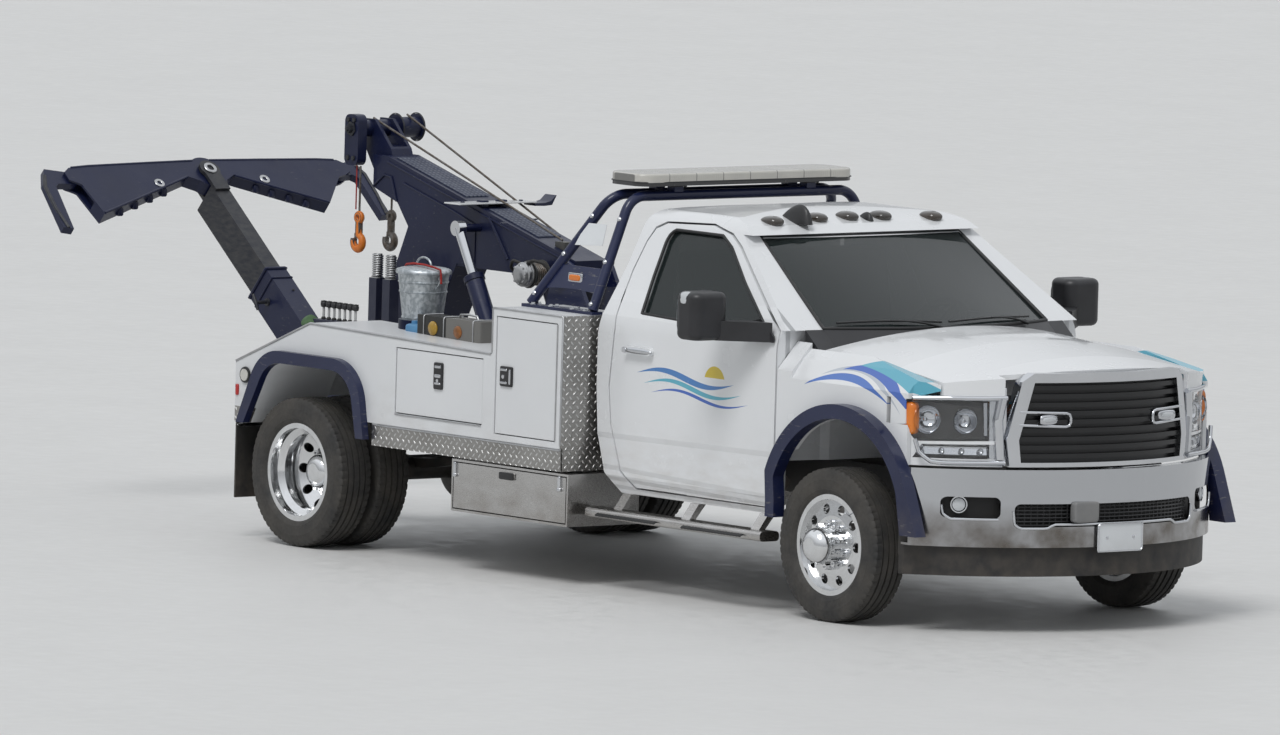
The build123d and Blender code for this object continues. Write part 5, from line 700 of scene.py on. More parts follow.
# Headlamps: clear moulded lenses over chromed bowls, with an amber turn lamp at the outer end and a plain
# reflector plate at the inner one; a chromed strip runs over each lamp and another hooks round under it.
lens_glass, shader = blank_finish("headlamp_lens")
put(0.95, shader.inputs["Transmission Weight"])
put(1.2, shader.inputs["IOR"])
set_looks(shader, mixed(noise(shader, 9, 3), (0.88, 0.90, 0.92), (0.96, 0.97, 0.98)), noise(shader, 14, 3) * 0.05)
dress(lens_glass, "headlamps")
BULB = [(0, 0), (0, 11), (28, 13), (40, 10), (44, 0)]
for side, name in SIDES:
    forms = []
    for y, z, r in ((902, 1096, 74), (752, 1092, 66)):
        bowl = [(4, 6), (8, 30), (22, r * 0.72), (50, r * 0.97), (60, r), (54, r), (16, r * 0.72), (-2, 28),
                (-3, 0), (3, 0)]
        forms += [turned(outline, on_nose(side * y, z, 5182.0), (0.90, side * 0.28, 0), turns)
                  for outline, turns in ((bowl, 36), (BULB, 16))]
    for y_a, y_b, low, high in ((640, 676, 1018, 1186), (650, 940, 918, 958)):
        span = nose_path(side, [(y_a, low), (y_b, low)], 5230.0, step=30)
        top = span + np.array([-0.012, 0, (high - low) / 1000])
        forms.append(skinned(np.stack([span, top, top - 0.004 * X, span - 0.004 * X], 1)))
    forms += [turned([(0, 0), (1, 12), (16, 17), (14, 17), (-2, 0)], on_nose(side * y, 938, 5238.0),
                     (0.95, side * 0.2, 0), 18) for y in (700, 780, 860)]
    add_piece(f"headlamp_bowls_{name}", forms, chrome)
    add_piece(f"turn_lamp_{name}", pillow(on_nose(side * 968, 1100, 5228.0), (50, 36, 84), (3, 3, 5)), amber)
    over = nose_path(side, [(604, 1216), (700, 1212), (900, 1210), (984, 1206)], 5284.0)
    hook = nose_path(side, [(1000, 1000), (984, 930), (940, 886), (880, 880), (618, 884)], 5282.0, (444.0, 1040.0))
    post = nose_path(side, [(622, 1212), (640, 1100), (628, 900)], 5276.0)
    add_piece(f"headlamp_trim_{name}", [tube(over, 13, 10, X), tube(hook, 12, 10, X), tube(post, 26, 12, X)],
              chrome)

# Bumper: pressed steel, chromed, with a fog lamp in each end recess over a bright lip, a black mesh in the
# middle opening, a grey sensor box, a bright lower lip and a blank registration plate on its two bolts.
bumper_chrome, shader = blank_finish("bumper_chrome", metal=1.0)
# Painted reflection: towards the bottom the chrome's colour turns dark brown-grey, with ragged noise edges, and its
# roughness rises there; the dark colour stands in for the ground that the lower bumper reflects.
overlay = ramp(axes(shader)[2] + noise(shader, 4, 5) * 0.12, 0.74, 0.60) * ramp(noise(shader, 7, 6), 0.1, 0.7)
set_looks(shader, mixed(overlay, (0.50, 0.51, 0.53), (0.15, 0.13, 0.11)), overlay * 0.25 + 0.05)
dress(bumper_chrome, "front_bumper")
dress(surface("valance_black", (0.012, 0.012, 0.013), (0.028, 0.026, 0.024), (0.5, 0.75), grain=300,
              dust=(0.6, ROAD_DUST)), "front_valance")
BUMPER_ARC = (470.0, 1012.0)
FOG_RIM = [(-30, 0), (-30, 40), (6, 46), (12, 44), (12, 38), (0, 34), (-4, 0)]
FOG_LENS = [(1, 0), (3, 30), (8, 33), (13, 20), (14.5, 0)]
lips, lenses = [], []
for side in (1, -1):
    fog, facing = on_nose(side * 812, 668, 5296.0, BUMPER_ARC), (0.80, side * 0.55, 0)
    lips += [turned(FOG_RIM, fog, facing, 28),
             tube(nose_path(side, [(904, 668), (898, 618), (868, 596), (668, 596)], 5346.0, BUMPER_ARC), 7.5, 8, X)]
    lenses.append(turned(FOG_LENS, fog, facing))
half_lip = [(598, 640), (590, 566), (560, 551), (430, 551), (395, 572)]
middle_lip = [(-y, z) for y, z in half_lip] + half_lip[::-1]
lips.append(tube(nose_path(1, middle_lip, 5344.0, BUMPER_ARC), 7.5, 8, X))
add_piece("bumper_lips", lips, chrome)
add_piece("fog_lenses", lenses, clear_cap)
rods = [tube(nose_path(1, [(-570, z), (570, z)], 5318.0, BUMPER_ARC), 4.2, 6, Z) for z in np.arange(566, 680, 19.0)]
rods += [tube(on_nose(np.full(3, y), (562, 618, 675), 5315.0, BUMPER_ARC), 3.8, 6) for y in np.arange(-560, 561, 32.0)]
add_piece("bumper_mesh", rods, bar_black)
grey_plastic = surface("grey_plastic", (0.20, 0.20, 0.20), (0.26, 0.255, 0.25), (0.4, 0.6), grain=300)
add_piece("sensor_box", pillow(at(5316, -216, 634), (26, 82, 54), (6, 8, 8)), grey_plastic)
plate_white = surface("plate_white", (0.72, 0.74, 0.76), (0.66, 0.68, 0.70), (0.3, 0.45), grain=200,
                      dust=(0.5, (0.3, 0.26, 0.2)))
add_piece("registration_plate", pillow(at(5348, 0, 500), (1.6, 152.4, 76.2), (2, 14, 14), 17, 64), plate_white,
          sharp=40)
rim = nose_path(1, [(-148, 428), (148, 428), (148, 572), (-148, 572)], 5352.0, (20.0, 980.0), closed=True)
bolts = [turned([(0, 0), (0, 8.5), (3, 8), (4.5, 5), (5, 0)], at(5349, y, 500), X, 16) for y in (-88.9, 88.9)]
add_piece("plate_frame", [tube(rim, 3.5, 6, X, closed=True), *bolts], chrome)


# Nose flanks: a chromed filler closes the gap between each headlamp and the grille surround, along the arc,
# and a painted end plate closes each fender behind the turn lamp.
def slab(outline, near, far, lay):
    """Flat outline given thickness: each corner is laid at a near and a far depth, and walls join the two."""
    count = len(outline)
    points = [lay(a, b, depth) for depth in (near, far) for a, b in outline]
    walls = [[i, (i + 1) % count, count + (i + 1) % count, count + i] for i in range(count)]
    return points, [list(range(count)), list(range(2 * count - 1, count - 1, -1))] + walls


def upright(side):
    """Lays stations and heights in a plane along the truck, so far out on one side."""
    return lambda station, z, out: at(station, side * out, z)


for side, name in SIDES:
    reach = np.linspace(588, 668, 9)
    rings = np.stack([at(nose(reach, 5262.0) + d, side * reach, z)
                      for d, z in ((0, 886), (-12, 1266), (-28, 1266), (-16, 886))], 1)
    add_piece(f"fender_end_{name}", slab(((4688, 1058), (4812, 1070), (4806, 1207), (4688, 1208)), 1011, 1001,
              upright(side)), fender_paint, sharp=35, bevel=0.003)
    add_piece(f"nose_filler_{name}", skinned(rings), chrome, sharp=35, bevel=0.003)

# Running boards: bright steel tubes on brackets, with ribbed rubber treads where feet land.
bright_steel, shader = blank_finish("bright_steel", metal=1.0)
brush = noise(shader, 40, 4, (0.6, 8.0, 14.0))
grime = ramp(axes(shader)[2], 0.60, 0.30) * ramp(noise(shader, 6, 7, (1, 1, 2)), 0.32, 0.75)
set_looks(shader, mixed(grime * 0.6, mixed(brush, (0.62, 0.61, 0.60), (0.44, 0.43, 0.42)), (0.19, 0.155, 0.12)),
          ramp(brush, 0.0, 1.0, 0.16, 0.38), brush, 0.0003)
dress(bright_steel, "running_boards", "under_door_left", "under_door_right", "under_boxes")
RIBS = 60
u = np.linspace(-1, 1, 9)
forms = []
for side in (1, -1):
    for start, end in ((2470, 2960), (3180, 3670)):
        ridge = 2.2 * (np.arange(RIBS) % 3 == 0)[:, None]
        pad = at(np.linspace(start, end, RIBS)[:, None], side * 1120 + 26 * u, 403 - 10 * u ** 2 + ridge)
        forms.append(skinned(np.concatenate([pad, (pad - 0.006 * Z)[:, ::-1]], 1)))
add_piece("step_treads", forms, seal, sharp=40)

# Wrecker body: folded steel sheet, welded and painted white. The strip along the bottom, the front wall of
# the tall boxes and the deck are bare tread plate, whose raised bars lie crosswise in turn.
body_skin, shader = blank_finish("body_skin")
x, y, z = axes(shader)
front_wall = ramp(x, 0.8500, 0.8515)
strip = ramp(abs(y), 1.205, 1.21) * ramp(z, 0.713, 0.712)
deck = ramp(z, 1.004, 1.002) * (ramp(z, 0.99, 0.992) * ramp(abs(y), 0.75, 0.745))
bare = front_wall.most(strip).most(deck)
PITCH = 0.034


def blend(mask, first, second):
    """Number that is the first where the mask is 0 and the second where it is 1."""
    return (1.0 - mask) * first + mask * second


def from_middle(value):
    """How far a value is from the middle between two whole numbers: 0 to 0.5."""
    return abs(value.calc("FRACT") - 0.5)


a, b = blend(front_wall, x, y), blend(deck, z, y)
p, q = [turned_round * (0.7071 / PITCH) for turned_round in (a + b, a - b)]
odd = (p.calc("FLOOR") + q.calc("FLOOR")).calc("FLOORED_MODULO", 2.0)
u, v = from_middle(p), from_middle(q)
bar = (blend(odd, u, v) * 2.3) ** 2.0 + (blend(odd, v, u) * 6.5) ** 2.0
raised = ramp(bar, 1.0, 0.5) * bare
splash = ramp(z, 1.0, 0.6) * ramp(noise(shader, 6, 7, (1, 1, 2)), 0.42, 0.85)
LID_WHITE, LID_SHADE = (0.74, 0.75, 0.765), (0.70, 0.71, 0.725)
white = mixed(splash * 0.4, patchy(shader, 1.7, 5, LID_WHITE, LID_SHADE, 0.3, 0.75), (0.36, 0.32, 0.27))
metal_tone = mixed(raised, patchy(shader, 3, 6, (0.30, 0.29, 0.275), (0.42, 0.41, 0.395)), (0.66, 0.66, 0.65))
put(bare, shader.inputs["Metallic"])
set_looks(shader, mixed(bare, white, metal_tone), noise(shader, 6, 5) * 0.2 + 0.22, raised, 0.0022)
dress(body_skin, "wrecker_body")
lid_paint = surface("lid_paint", LID_WHITE, LID_SHADE, (0.2, 0.36), coat=0.3, patch=2, grain=400, depth=0.00008,
                    dust=(0.85, (0.42, 0.38, 0.32)))
dress(lid_paint, "low_door_left", "low_door_right", "tall_door_left", "tall_door_right")

# Front aprons: the tread plate of the tall boxes' front wall goes on down to the skirts' lower edge.
for side, name in SIDES:
    add_piece(f"front_apron_{name}", slab(((740, 602), (1211, 602), (1211, 724), (740, 724)), 2255, 2249,
              lambda y, z, station: at(station, side * y, z)), body_skin, sharp=35, bevel=0.0015)

# Body trim: half-round aluminium extrusion riveted along the top edge and up the boxes' front corners.
trim_aluminium = surface("trim_aluminium", (0.50, 0.505, 0.51), (0.40, 0.40, 0.405), (0.25, 0.42), metal=1.0,
                         patch=14, grain=60)
BODY_SIDE = 1219
TRIM_RUNS = (
    # radius, stations and heights, all in millimetres
    (6.5, ((-530, 950), (-530, 954), (100, 1204), (112, 1206), (1656, 1172))),
    (5.5, ((1664, 1180), (1664, 1414), (1668, 1417), (2249, 1417), (2253, 1414), (2253, 740))),
    (4.5, ((700, 712), (1200, 712), (1700, 712), (2250, 712))))
add_piece("body_trim", [tube(in_plane(side * BODY_SIDE, run), radius) for side in (1, -1) for radius, run in TRIM_RUNS],
          trim_aluminium)

# Locker latches: black recessed paddle latches with bright paddles and a lock; the under box has a black
# slot latch and two over-centre catches; each lid hangs on a continuous hinge.
black_latch = surface("black_latch", (0.012, 0.012, 0.013), (0.022, 0.022, 0.023), (0.3, 0.5), grain=200)
LATCHES = (
    # name, door, plate's place and half sizes, paddles' places and half sizes, their power, lock's place and sizes
    ("low", "locker_door", (1216, 1018, 38, 71), ((1216, 1066, 26, 7), (1216, 1018, 26, 9), (1216, 978, 26, 6)), 6,
     (1216, 994, 11, 10, 5, 6)),
    ("tall", "cabinet_door", (1790, 1064, 52, 53), ((1774, 1098, 28, 6), (1826, 1064, 7, 40), (1774, 1030, 28, 6)), 8,
     (1772, 1062, 12, 11, 6, 7)))
for side, name in SIDES:
    for kind, door, (s, z, a, b), paddles, power, (lock_s, lock_z, *lock) in LATCHES:
        plate = pillow(at(s, side * BODY_SIDE, z), (a, 7, b), (12, 3, 12), 17, 40)
        bars = [pillow(at(s, side * (BODY_SIDE + 6), z), (a, 5, b), (8, 3, power), 9, 24) for s, z, a, b in paddles]
        add_piece(f"{kind}_latch_plate_{name}", plate, black_latch, f"{door}_{name}")
        bars.append(head(at(lock_s, side * (BODY_SIDE + 5), lock_z), side * Y, *lock, 18))
        add_piece(f"{kind}_latch_{name}", bars, chrome, f"{door}_{name}")
    add_piece(f"under_latch_{name}", pillow(at(1790, side * 1201, 538), (62, 5, 19), (10, 3, 8), 13, 32),
              black_latch, f"under_box_door_{name}")
    catches = [pillow(at(s, side * 1199, 536), (11, 8, 40), (3, 3, 8), 11, 20) for s in (1352, 2232)]
    catches += [pillow(at(s, side * 1201, 506), (15, 8, 10), (3, 3, 3), 9, 20) for s in (1352, 2232)]
    add_piece(f"under_catches_{name}", catches, chrome, f"under_box_door_{name}")
    hinges = [tube(at(np.linspace(856, 1586, 12), side * 1221, 787), 4.5, 8, Z),
              tube(at(2211, side * 1221, np.linspace(760, 1371, 12)), 4.5)]
    add_piece(f"lid_hinges_{name}", hinges, trim_aluminium)
red_lens = surface("red_lens", (0.50, 0.012, 0.010), (0.42, 0.010, 0.008), (0.12, 0.22), coat=0.4, grain=200,
                   depth=0.0005)
add_piece("corner_lamps", [pillow(at(-537, side * 1180, 808), (10, 30, 34), (2, 5, 5), 11, 24) for side in (1, -1)],
          red_lens)
BEZEL = [(0, 34), (4, 44), (12, 42), (14, 34), (8, 31)]
add_piece("marker_bezels", [turned(BEZEL, at(-440, side * BODY_SIDE, 885), side * Y, 32) for side in (1, -1)],
          black_latch, sharp=45)
add_piece("side_reflectors", [pillow(at(-512, side * 1221, 800), (13, 6, 30), (5, 3, 5), 11, 24) for side in (1, -1)],
          red_lens)
flap_rubber = surface("flap_rubber", (0.015, 0.015, 0.015), (0.030, 0.028, 0.026), (0.6, 0.85), grain=120,
                      dust=(0.65, ROAD_DUST))
dress(flap_rubber, "mud_flaps")
add_piece("flap_bars", [pillow(at(-508, side * 959, 612), (6, 262, 13), (4, 10, 4), 9, 40) for side in (1, -1)],
          chrome)

# Pylon: besides the CAD tubes, a folded navy panel closes each side between the legs, with an amber lamp in a
# bright bezel and a blank white plate above it; bright bolts hold the panel and plate to the legs.
PYLON_LEAN = 0.3956
PYLON_PANEL = ((1734, 1519), (1816, 1652), (2192, 1652), (2192, 1519), (2130, 1528), (2000, 1534), (1860, 1530))
PYLON_PLATE = ((1911, 1758), (1948, 1876), (2115, 1879), (2136, 1771))
PYLON_BOLTS = ((1719, 1492), (1851, 1707), (1978, 1914), (2205, 1472), (2205, 1691), (2205, 1914))
DOMED_BOLT = [(0, 0), (0, 14), (5, 13), (10, 8), (11, 0)]
FOOT_NUT = [(0, 0), (0, 16), (4, 16), (5, 11), (12, 10), (13, 0)]


def on_pylon(side):
    """Places on the leaning side of the pylon: y moves inwards with height, and out by the depth given."""
    return lambda station, z, depth: at(station, side * (985 - PYLON_LEAN * (z - 1438) + depth), z)


for side, name in SIDES:
    lay = on_pylon(side)
    add_piece(f"pylon_panel_{name}", slab(PYLON_PANEL, 3, -3, lay), navy_paint, sharp=30, bevel=0.0015)
    add_piece(f"pylon_plate_{name}", slab(PYLON_PLATE, 24, 20, lay), plate_white, sharp=30, bevel=0.001)
    add_piece(f"pylon_lamp_{name}", pillow(lay(1985, 1592, 8), (47, 10, 17), (8, 3, 4), 11, 32), amber)
    add_piece(f"pylon_bezel_{name}", pillow(lay(1985, 1592, 4), (60, 8, 26), (10, 3, 8), 11, 32), chrome)
    heads = [turned(DOMED_BOLT, lay(station, z, 26), (0, side, PYLON_LEAN), 14) for station, z in PYLON_BOLTS]
    feet = [turned(FOOT_NUT, at(station, side * 985 + y, 1434), Z, 6)
            for station in (1730, 1880, 2060, 2170) for y in (-20, 20)]
    add_piece(f"pylon_bolts_{name}", heads + feet, chrome, sharp=30)

# Light bar: cream lens modules with dark dividers stand on a black base, clamped to the pylon's saddles.
bar_lens, shader = blank_finish("bar_lens", coat=0.4)
x, y, z = axes(shader)
MODULES_PER_METRE, FLUTES_PER_METRE = 5.48, 70.0
divider = ramp(from_middle(y * MODULES_PER_METRE), 0.484, 0.49)
cream = patchy(shader, 5, 5, (0.60, 0.58, 0.53), (0.50, 0.485, 0.45))
base = ramp(z, 2.107, 2.105)
set_looks(shader, mixed(base, mixed(divider * 0.75, cream, (0.05, 0.05, 0.05)), (0.03, 0.03, 0.032)),
          noise(shader, 30, 4) * 0.2 + 0.14, from_middle(y * FLUTES_PER_METRE) * (1.0 - base), 0.0012)
dress(bar_lens, "light_bar")
forms = []
for y in (-450, 450):
    for s, bolt in ((2051, 2025), (2205, 2231)):
        forms += [pillow(at(s, y, 2082), (34, 40, 7), (8, 8, 3), 9, 24),
                  pillow(at(bolt, y + 46, 2079), (7, 7, 9), (3, 3, 3), 9, 12)]
add_piece("light_bar_clamps", forms, black_metal, sharp=40)
t = np.linspace(0, 2 * pi, 73)[:-1]
rim = at(2120 + 153 * bent(np.cos(t), 0.32), 728 * bent(np.sin(t), 0.14), 2107)
add_piece("light_bar_seam", tube(rim, 3.5, 8, Z, closed=True), black_metal, sharp=60)

# Lift paint and slide steel: the recovery gear's navy paint is rubbed dull; what slides is bare and oiled.
# The lines are wire rope, laid in strands.
lift_paint, shader = blank_finish("lift_paint", coat=0.12)
put(0.28, shader.inputs["Specular IOR Level"])
base = patchy(shader, 3.2, 6, (0.005, 0.008, 0.034), (0.010, 0.014, 0.046))
rubbed = ramp(noise(shader, 22, 9, (1.6, 1, 4)), 0.63, 0.72) * ramp(noise(shader, 2.4, 4), 0.42, 0.60) * 0.5
set_looks(shader, mixed(rubbed, base, (0.10, 0.10, 0.105)), noise(shader, 9, 6) * 0.3 + 0.24,
          noise(shader, 120, 4), 0.0004)
slide_steel = surface("slide_steel", (0.018, 0.020, 0.028), (0.050, 0.050, 0.052), (0.35, 0.6), metal=0.3,
                      patch=16, grain=70, stretch=(1, 1, 3))
wire_steel, shader = blank_finish("wire_steel", metal=0.8)
x, y, z = axes(shader)
STRANDS_PER_METRE = 160.0
strand = from_middle((x + y + z) * STRANDS_PER_METRE)
set_looks(shader, patchy(shader, 40, 5, (0.17, 0.16, 0.15), (0.10, 0.075, 0.055), 0.35), strand * 0.3 + 0.35,
          strand, 0.0012)
dress(lift_paint, "boom", "stinger_sleeve", "crossbar", "claw_left", "claw_right")
dress(slide_steel, "stinger_tube")
dress(wire_steel, "tow_lines")
dress(chrome, "lift_rods")
dress(surface("winch_steel", (0.075, 0.077, 0.08), (0.12, 0.115, 0.105), (0.35, 0.6), metal=0.6, patch=14, grain=80),
      "winches")

# Boom: welded box of plate. A second plate laps the lower side and the leg, a flat bar stiffens the side in
# front of the cylinder, and the top carries punched grip strips between its two edges.
BOOM_LAP = ((-532, 1879), (-92, 1762), (101, 1701), (101, 1482), (-50, 1482), (-234, 1162), (-436, 905),
            (-806, 905), (-596, 1393), (-478, 1648), (-556, 1756))
BOOM_RODS = (
    # distance from the middle plane, radius, stations and heights: top edge, stiffener, weld bead, head's notch
    (110, 5.5, ((-676, 1985), (-300, 1884), (300, 1724), (900, 1563))),
    (112, 7.5, ((214, 1752), (270, 1686), (330, 1610), (386, 1540))),
    (113, 5, ((-532, 1879), (-312, 1820), (-92, 1762), (101, 1701))),
    (112, 6, ((-792, 1846), (-700, 1912), (-640, 1905), (-590, 1776))))
BOOM_SLOPE = (2015 - 1575) / (960 + 684)
for side, name in SIDES:
    rods = [tube(in_plane(side * out, run), radius) for out, radius, run in BOOM_RODS]
    add_piece(f"boom_lap_{name}", [slab(BOOM_LAP, 106, 113, upright(side)), *rods], lift_paint,
              "boom_body", sharp=30)
grip, shader = blank_finish("grip_strip", metal=0.1)
x, y, z = axes(shader)
STUDS_PER_METRE = 36.0
u, v = from_middle(x * STUDS_PER_METRE), from_middle(y * STUDS_PER_METRE)
stud = ramp(u * u + v * v, 0.11, 0.06)
tone = patchy(shader, 12, 6, (0.020, 0.026, 0.060), (0.045, 0.054, 0.09))
set_looks(shader, mixed(stud * 0.6, tone, (0.16, 0.18, 0.22)), noise(shader, 30, 4) * 0.3 + 0.4, stud, 0.003)
strips = [slab(((low, -78), (low, 78), (high, 78), (high, -78)), -1, 7,
               lambda s, y, depth: at(s, y, 2015 - (s + 684) * BOOM_SLOPE + depth))
          for low, high in ((-640, -30), (170, 600))]
add_piece("boom_grip_strips", strips, grip, "boom_body", sharp=30, bevel=0.002)
PIN_END = [(0, 0), (0, 52), (5, 52), (7, 34), (16, 32), (19, 28), (20, 0)]
add_piece("boom_pin_caps", [turned(PIN_END, at(900, side * 157, 1500), side * Y, 28) for side in (1, -1)],
          slide_steel, sharp=35)
PIN_NUT = [(0, 0), (0, 40), (6, 40), (8, 24), (26, 23), (28, 14), (36, 12), (37, 0)]
WASHER = [(0, 74), (3, 79), (7, 79), (10, 74)]
forms = [turned(PIN_NUT, at(-898, y, 2148), side * Y, 6) for y, side in ((262, 1), (-192, -1))]
forms += [head(at(s, -190, z), -Y, 14, 13, 10, 11) for z in (2196, 1990) for s in (-922, -874)]
forms += [turned(WASHER, at(-898, y, 2148), Y, 40) for y in (108, 250)]
add_piece("boom_head_bolts", forms, slide_steel, "boom_body", sharp=30)

# Tray over the boom: a white painted sheet on two blocks, and a navy wing that rises at the far end.
tray = slab(((-275, 30), (-268, 160), (262, 158), (262, 34)), 0, 8, lambda y, s, depth: at(s, y, 1816 + depth))
add_piece("boom_tray", tray, lid_paint, "boom_body", sharp=30, bevel=0.002)
BEND = ((262, 1812), (330, 1812), (372, 1822), (404, 1850), (410, 1852), (380, 1800), (330, 1796), (262, 1798))
blocks = [pillow(at(95, y, 1805), (28, 24, 30), (8, 8, 8), 9, 20) for y in (-62, 66)]
bolts = [head(at(96, y, 1824), Z, 12, 11, 6, 7) for y in (-200, -62, 66, 200)]
add_piece("boom_tray_stand", [*blocks, slab(BEND, 45, 140, lambda y, z, s: at(s, y, z)), *bolts], lift_paint,
          "boom_body", sharp=35)

# Winches: rope wound in even turns on each drum, and a bright ribbed planetary case with its bolts outside.
# Two black hydraulic hoses run from each motor down into the boom.
WINCH, TURNS, TURN_PITCH, ROPE = (725, 1490), 6, 12.5, 6
middle = 8 + TURN_PITCH * np.arange(TURNS)[:, None]
t = np.linspace(0.15, pi - 0.15, 6)
wraps = np.stack([middle - ROPE * np.cos(t), np.broadcast_to(56.5 + ROPE * np.sin(t), (TURNS, 6))], -1).reshape(-1, 2)
wraps = np.concatenate([[(0, 40)], wraps, [(80, 40)]])
add_piece("winch_rope", [turned(wraps, at(WINCH[0], side * 152.5, WINCH[1]), side * Y, 40) for side in (1, -1)],
          wire_steel, "boom_body")
CASE = [(0, 46), (4, 66), (14, 68), (18, 60), (26, 60), (30, 66), (40, 66), (44, 58), (60, 54), (68, 40), (71, 20),
        (72, 0)]
forms = []
for side in (1, -1):
    forms.append(turned(CASE, at(WINCH[0], side * 240.5, WINCH[1]), side * Y, 44))
    forms += [head(at(WINCH[0] + 50 * cos(t), side * 301, WINCH[1] + 50 * sin(t)), side * Y, 7.5, 7, 6, 7)
              for t in np.arange(8) * pi / 4]
add_piece("winch_cases", forms, trim_aluminium, "boom_body", sharp=35)
HOSES = ([(735, 262, 1548), (800, 268, 1570), (850, 240, 1560), (880, 200, 1500), (900, 170, 1440)],
         [(700, 266, 1546), (640, 280, 1560), (600, 262, 1520), (560, 180, 1470), (540, 130, 1440)])
forms = []
for side in (1, -1):
    for run in HOSES:
        line = np.stack([np.interp(np.linspace(0, 4, 26), np.arange(5), column) for column in np.transpose(run)], -1)
        s, y, z = ((line + np.roll(line, 1, 0) + np.roll(line, -1, 0)) / 3)[1:-1].T
        forms.append(tube(at(s, side * y, z), 9, 8, (0.2, 1.0, 0.1)))
add_piece("winch_hoses", forms, flap_rubber, "boom_body", sharp=60)

# Hooks: forged with an eye, a swelling shank and a round bill, the near one painted orange, each with a
# sprung latch; the near line has a red safety strap beside it.
hook_orange = surface("hook_orange", (0.72, 0.20, 0.012), (0.55, 0.14, 0.02), (0.35, 0.6), patch=40, grain=120)


def hook_form(station, y, top):
    """A tube whose path drops down the shank and turns three quarters round the bill, thickest at its base."""
    t = np.linspace(radians(78), radians(-208), 30)
    path = at(np.concatenate([[station, station, station + 1], station - 6 + 38 * np.cos(t)]), y,
              np.concatenate([[top - 52, top - 84, top - 112], top - 163 + 38 * np.sin(t)]))
    width = np.interp(np.arange(33), [0, 2, 12, 20, 30, 32], [15, 18, 21, 22, 15, 6])
    a = np.linspace(0, 2 * pi, 29)[:-1]
    eye = at(station + 22 * np.cos(a), y, top - 30 + 22 * np.sin(a))
    latch = in_plane(y, ((station + 10, top - 118), (station - 20, top - 132), (station - 42, top - 150)))
    return [tube(path, width, 14), tube(eye, 14.5, 12, closed=True), tube(latch, [6, 5, 4])]


add_piece("hook_near", hook_form(-848, -160, 1700), hook_orange, "boom_body")
add_piece("hook_far", hook_form(-962, 150, 1690), wire_steel, "boom_body")
strap_red = surface("strap_red", (0.36, 0.022, 0.018), (0.26, 0.02, 0.018), (0.6, 0.85), patch=30, grain=260,
                    depth=0.0008)
add_piece("hook_strap", tube(at(-872, -166, (1950, 1880, 1790, 1712)), 4), strap_red, "boom_body",
          sharp=60)

# Lift cylinders: chromed rods in navy barrels, each barrel closed by a screwed gland with a wiper ring.
CYLINDER_FOOT, CYLINDER_EYE, GLAND_REACH = (478, 1075), (131, 1690), 0.425
rise = np.array([CYLINDER_EYE[0] - CYLINDER_FOOT[0], 0, CYLINDER_EYE[1] - CYLINDER_FOOT[1]])
way = rise / hypot(rise[0], rise[2])
GLAND = [(-34, 52.5), (-32, 58.5), (-4, 58.5), (0, 55), (2, 36), (10, 33), (10, 28.5)]
add_piece("cylinder_glands", [turned(GLAND, at(CYLINDER_FOOT[0], side * 250, CYLINDER_FOOT[1]) + way * GLAND_REACH,
                                     way, 32) for side in (1, -1)], lift_paint, "barrels", sharp=40)

# Wheel lift: a rolled collar at the sleeve's mouth, a sprung locking pin, grease points, and bright wear
# rings on the crossbar's hub and wings; the edges of hub and wings carry welded bars.
ALONG, DOWN = (-0.7728, 0.6347), (-0.6347, -0.7728)
LIFT_WAY, seen_face = (-0.7728, 0.0, 0.6347), -np.array([DOWN[0], 0, DOWN[1]])
SLEEVE_OUTLINE = [(-69, -67), (69, -67), (69, 155), (-69, 155)]


def on_lift(along, y, depth):
    """A place on the wheel lift: along it from the leg's foot, across, and down from its axis."""
    return at(-850 + ALONG[0] * along + DOWN[0] * depth, y, 470 + ALONG[1] * along + DOWN[1] * depth)


def on_bar(y, reach, depth):
    """A place on the crossbar: across, towards the truck from the pivot, and below its middle plane."""
    return at(-2428 - ALONG[0] * reach + DOWN[0] * depth, y, 1766 - ALONG[1] * reach + DOWN[1] * depth)


forms = [tube(on_lift(along, *along_line(SLEEVE_OUTLINE, 10.0)), radius, 8, LIFT_WAY, closed=True)
         for along, radius in ((1252, 9), (1180, 6))]
add_piece("sleeve_collar", forms, lift_paint, "wheel_lift_sleeve")
PIN_ALONG, PIN_DEPTH = 1120, 60
d = np.array([-40, -20, 0, 20, 46])
forms = [tube(on_lift(PIN_ALONG, np.array([-66, -90, -120, -150]), PIN_DEPTH), 10, 12, (0.3, 0, 1)),
         tube(on_lift(PIN_ALONG + d, -150, PIN_DEPTH - 0.4 * d), [8, 10, 11, 10, 8], 12),
         head(on_lift(PIN_ALONG, -66, PIN_DEPTH), -Y, 22, 20, 12, 14, 20)]
GREASE_POINT = [(0, 0), (0, 8), (6, 7), (10, 4), (14, 0)]
forms += [turned(GREASE_POINT, on_lift(along, 20, -64), seen_face, 12) for along in (700, 1080)]
add_piece("sleeve_pin", forms, slide_steel, "wheel_lift_sleeve", sharp=40)
WEAR_RING = [(0, 14), (0, 30), (3, 31), (5, 29), (5, 16), (3, 14)]
HUB_RING = [(0, 20), (0, 38), (4, 39), (7, 36), (7, 22), (4, 20)]
rings = [turned(WEAR_RING, on_bar(y, reach, -40), seen_face, 28) for y, reach in ((-380, 78), (349, 72))]
add_piece("crossbar_rings", rings, trim_aluminium, "crossbar_body", sharp=40)
add_piece("pivot_ring", turned(HUB_RING, on_bar(0, 0, -67), seen_face, 32), trim_aluminium,
          "wheel_lift_tube", sharp=40)
forms = []
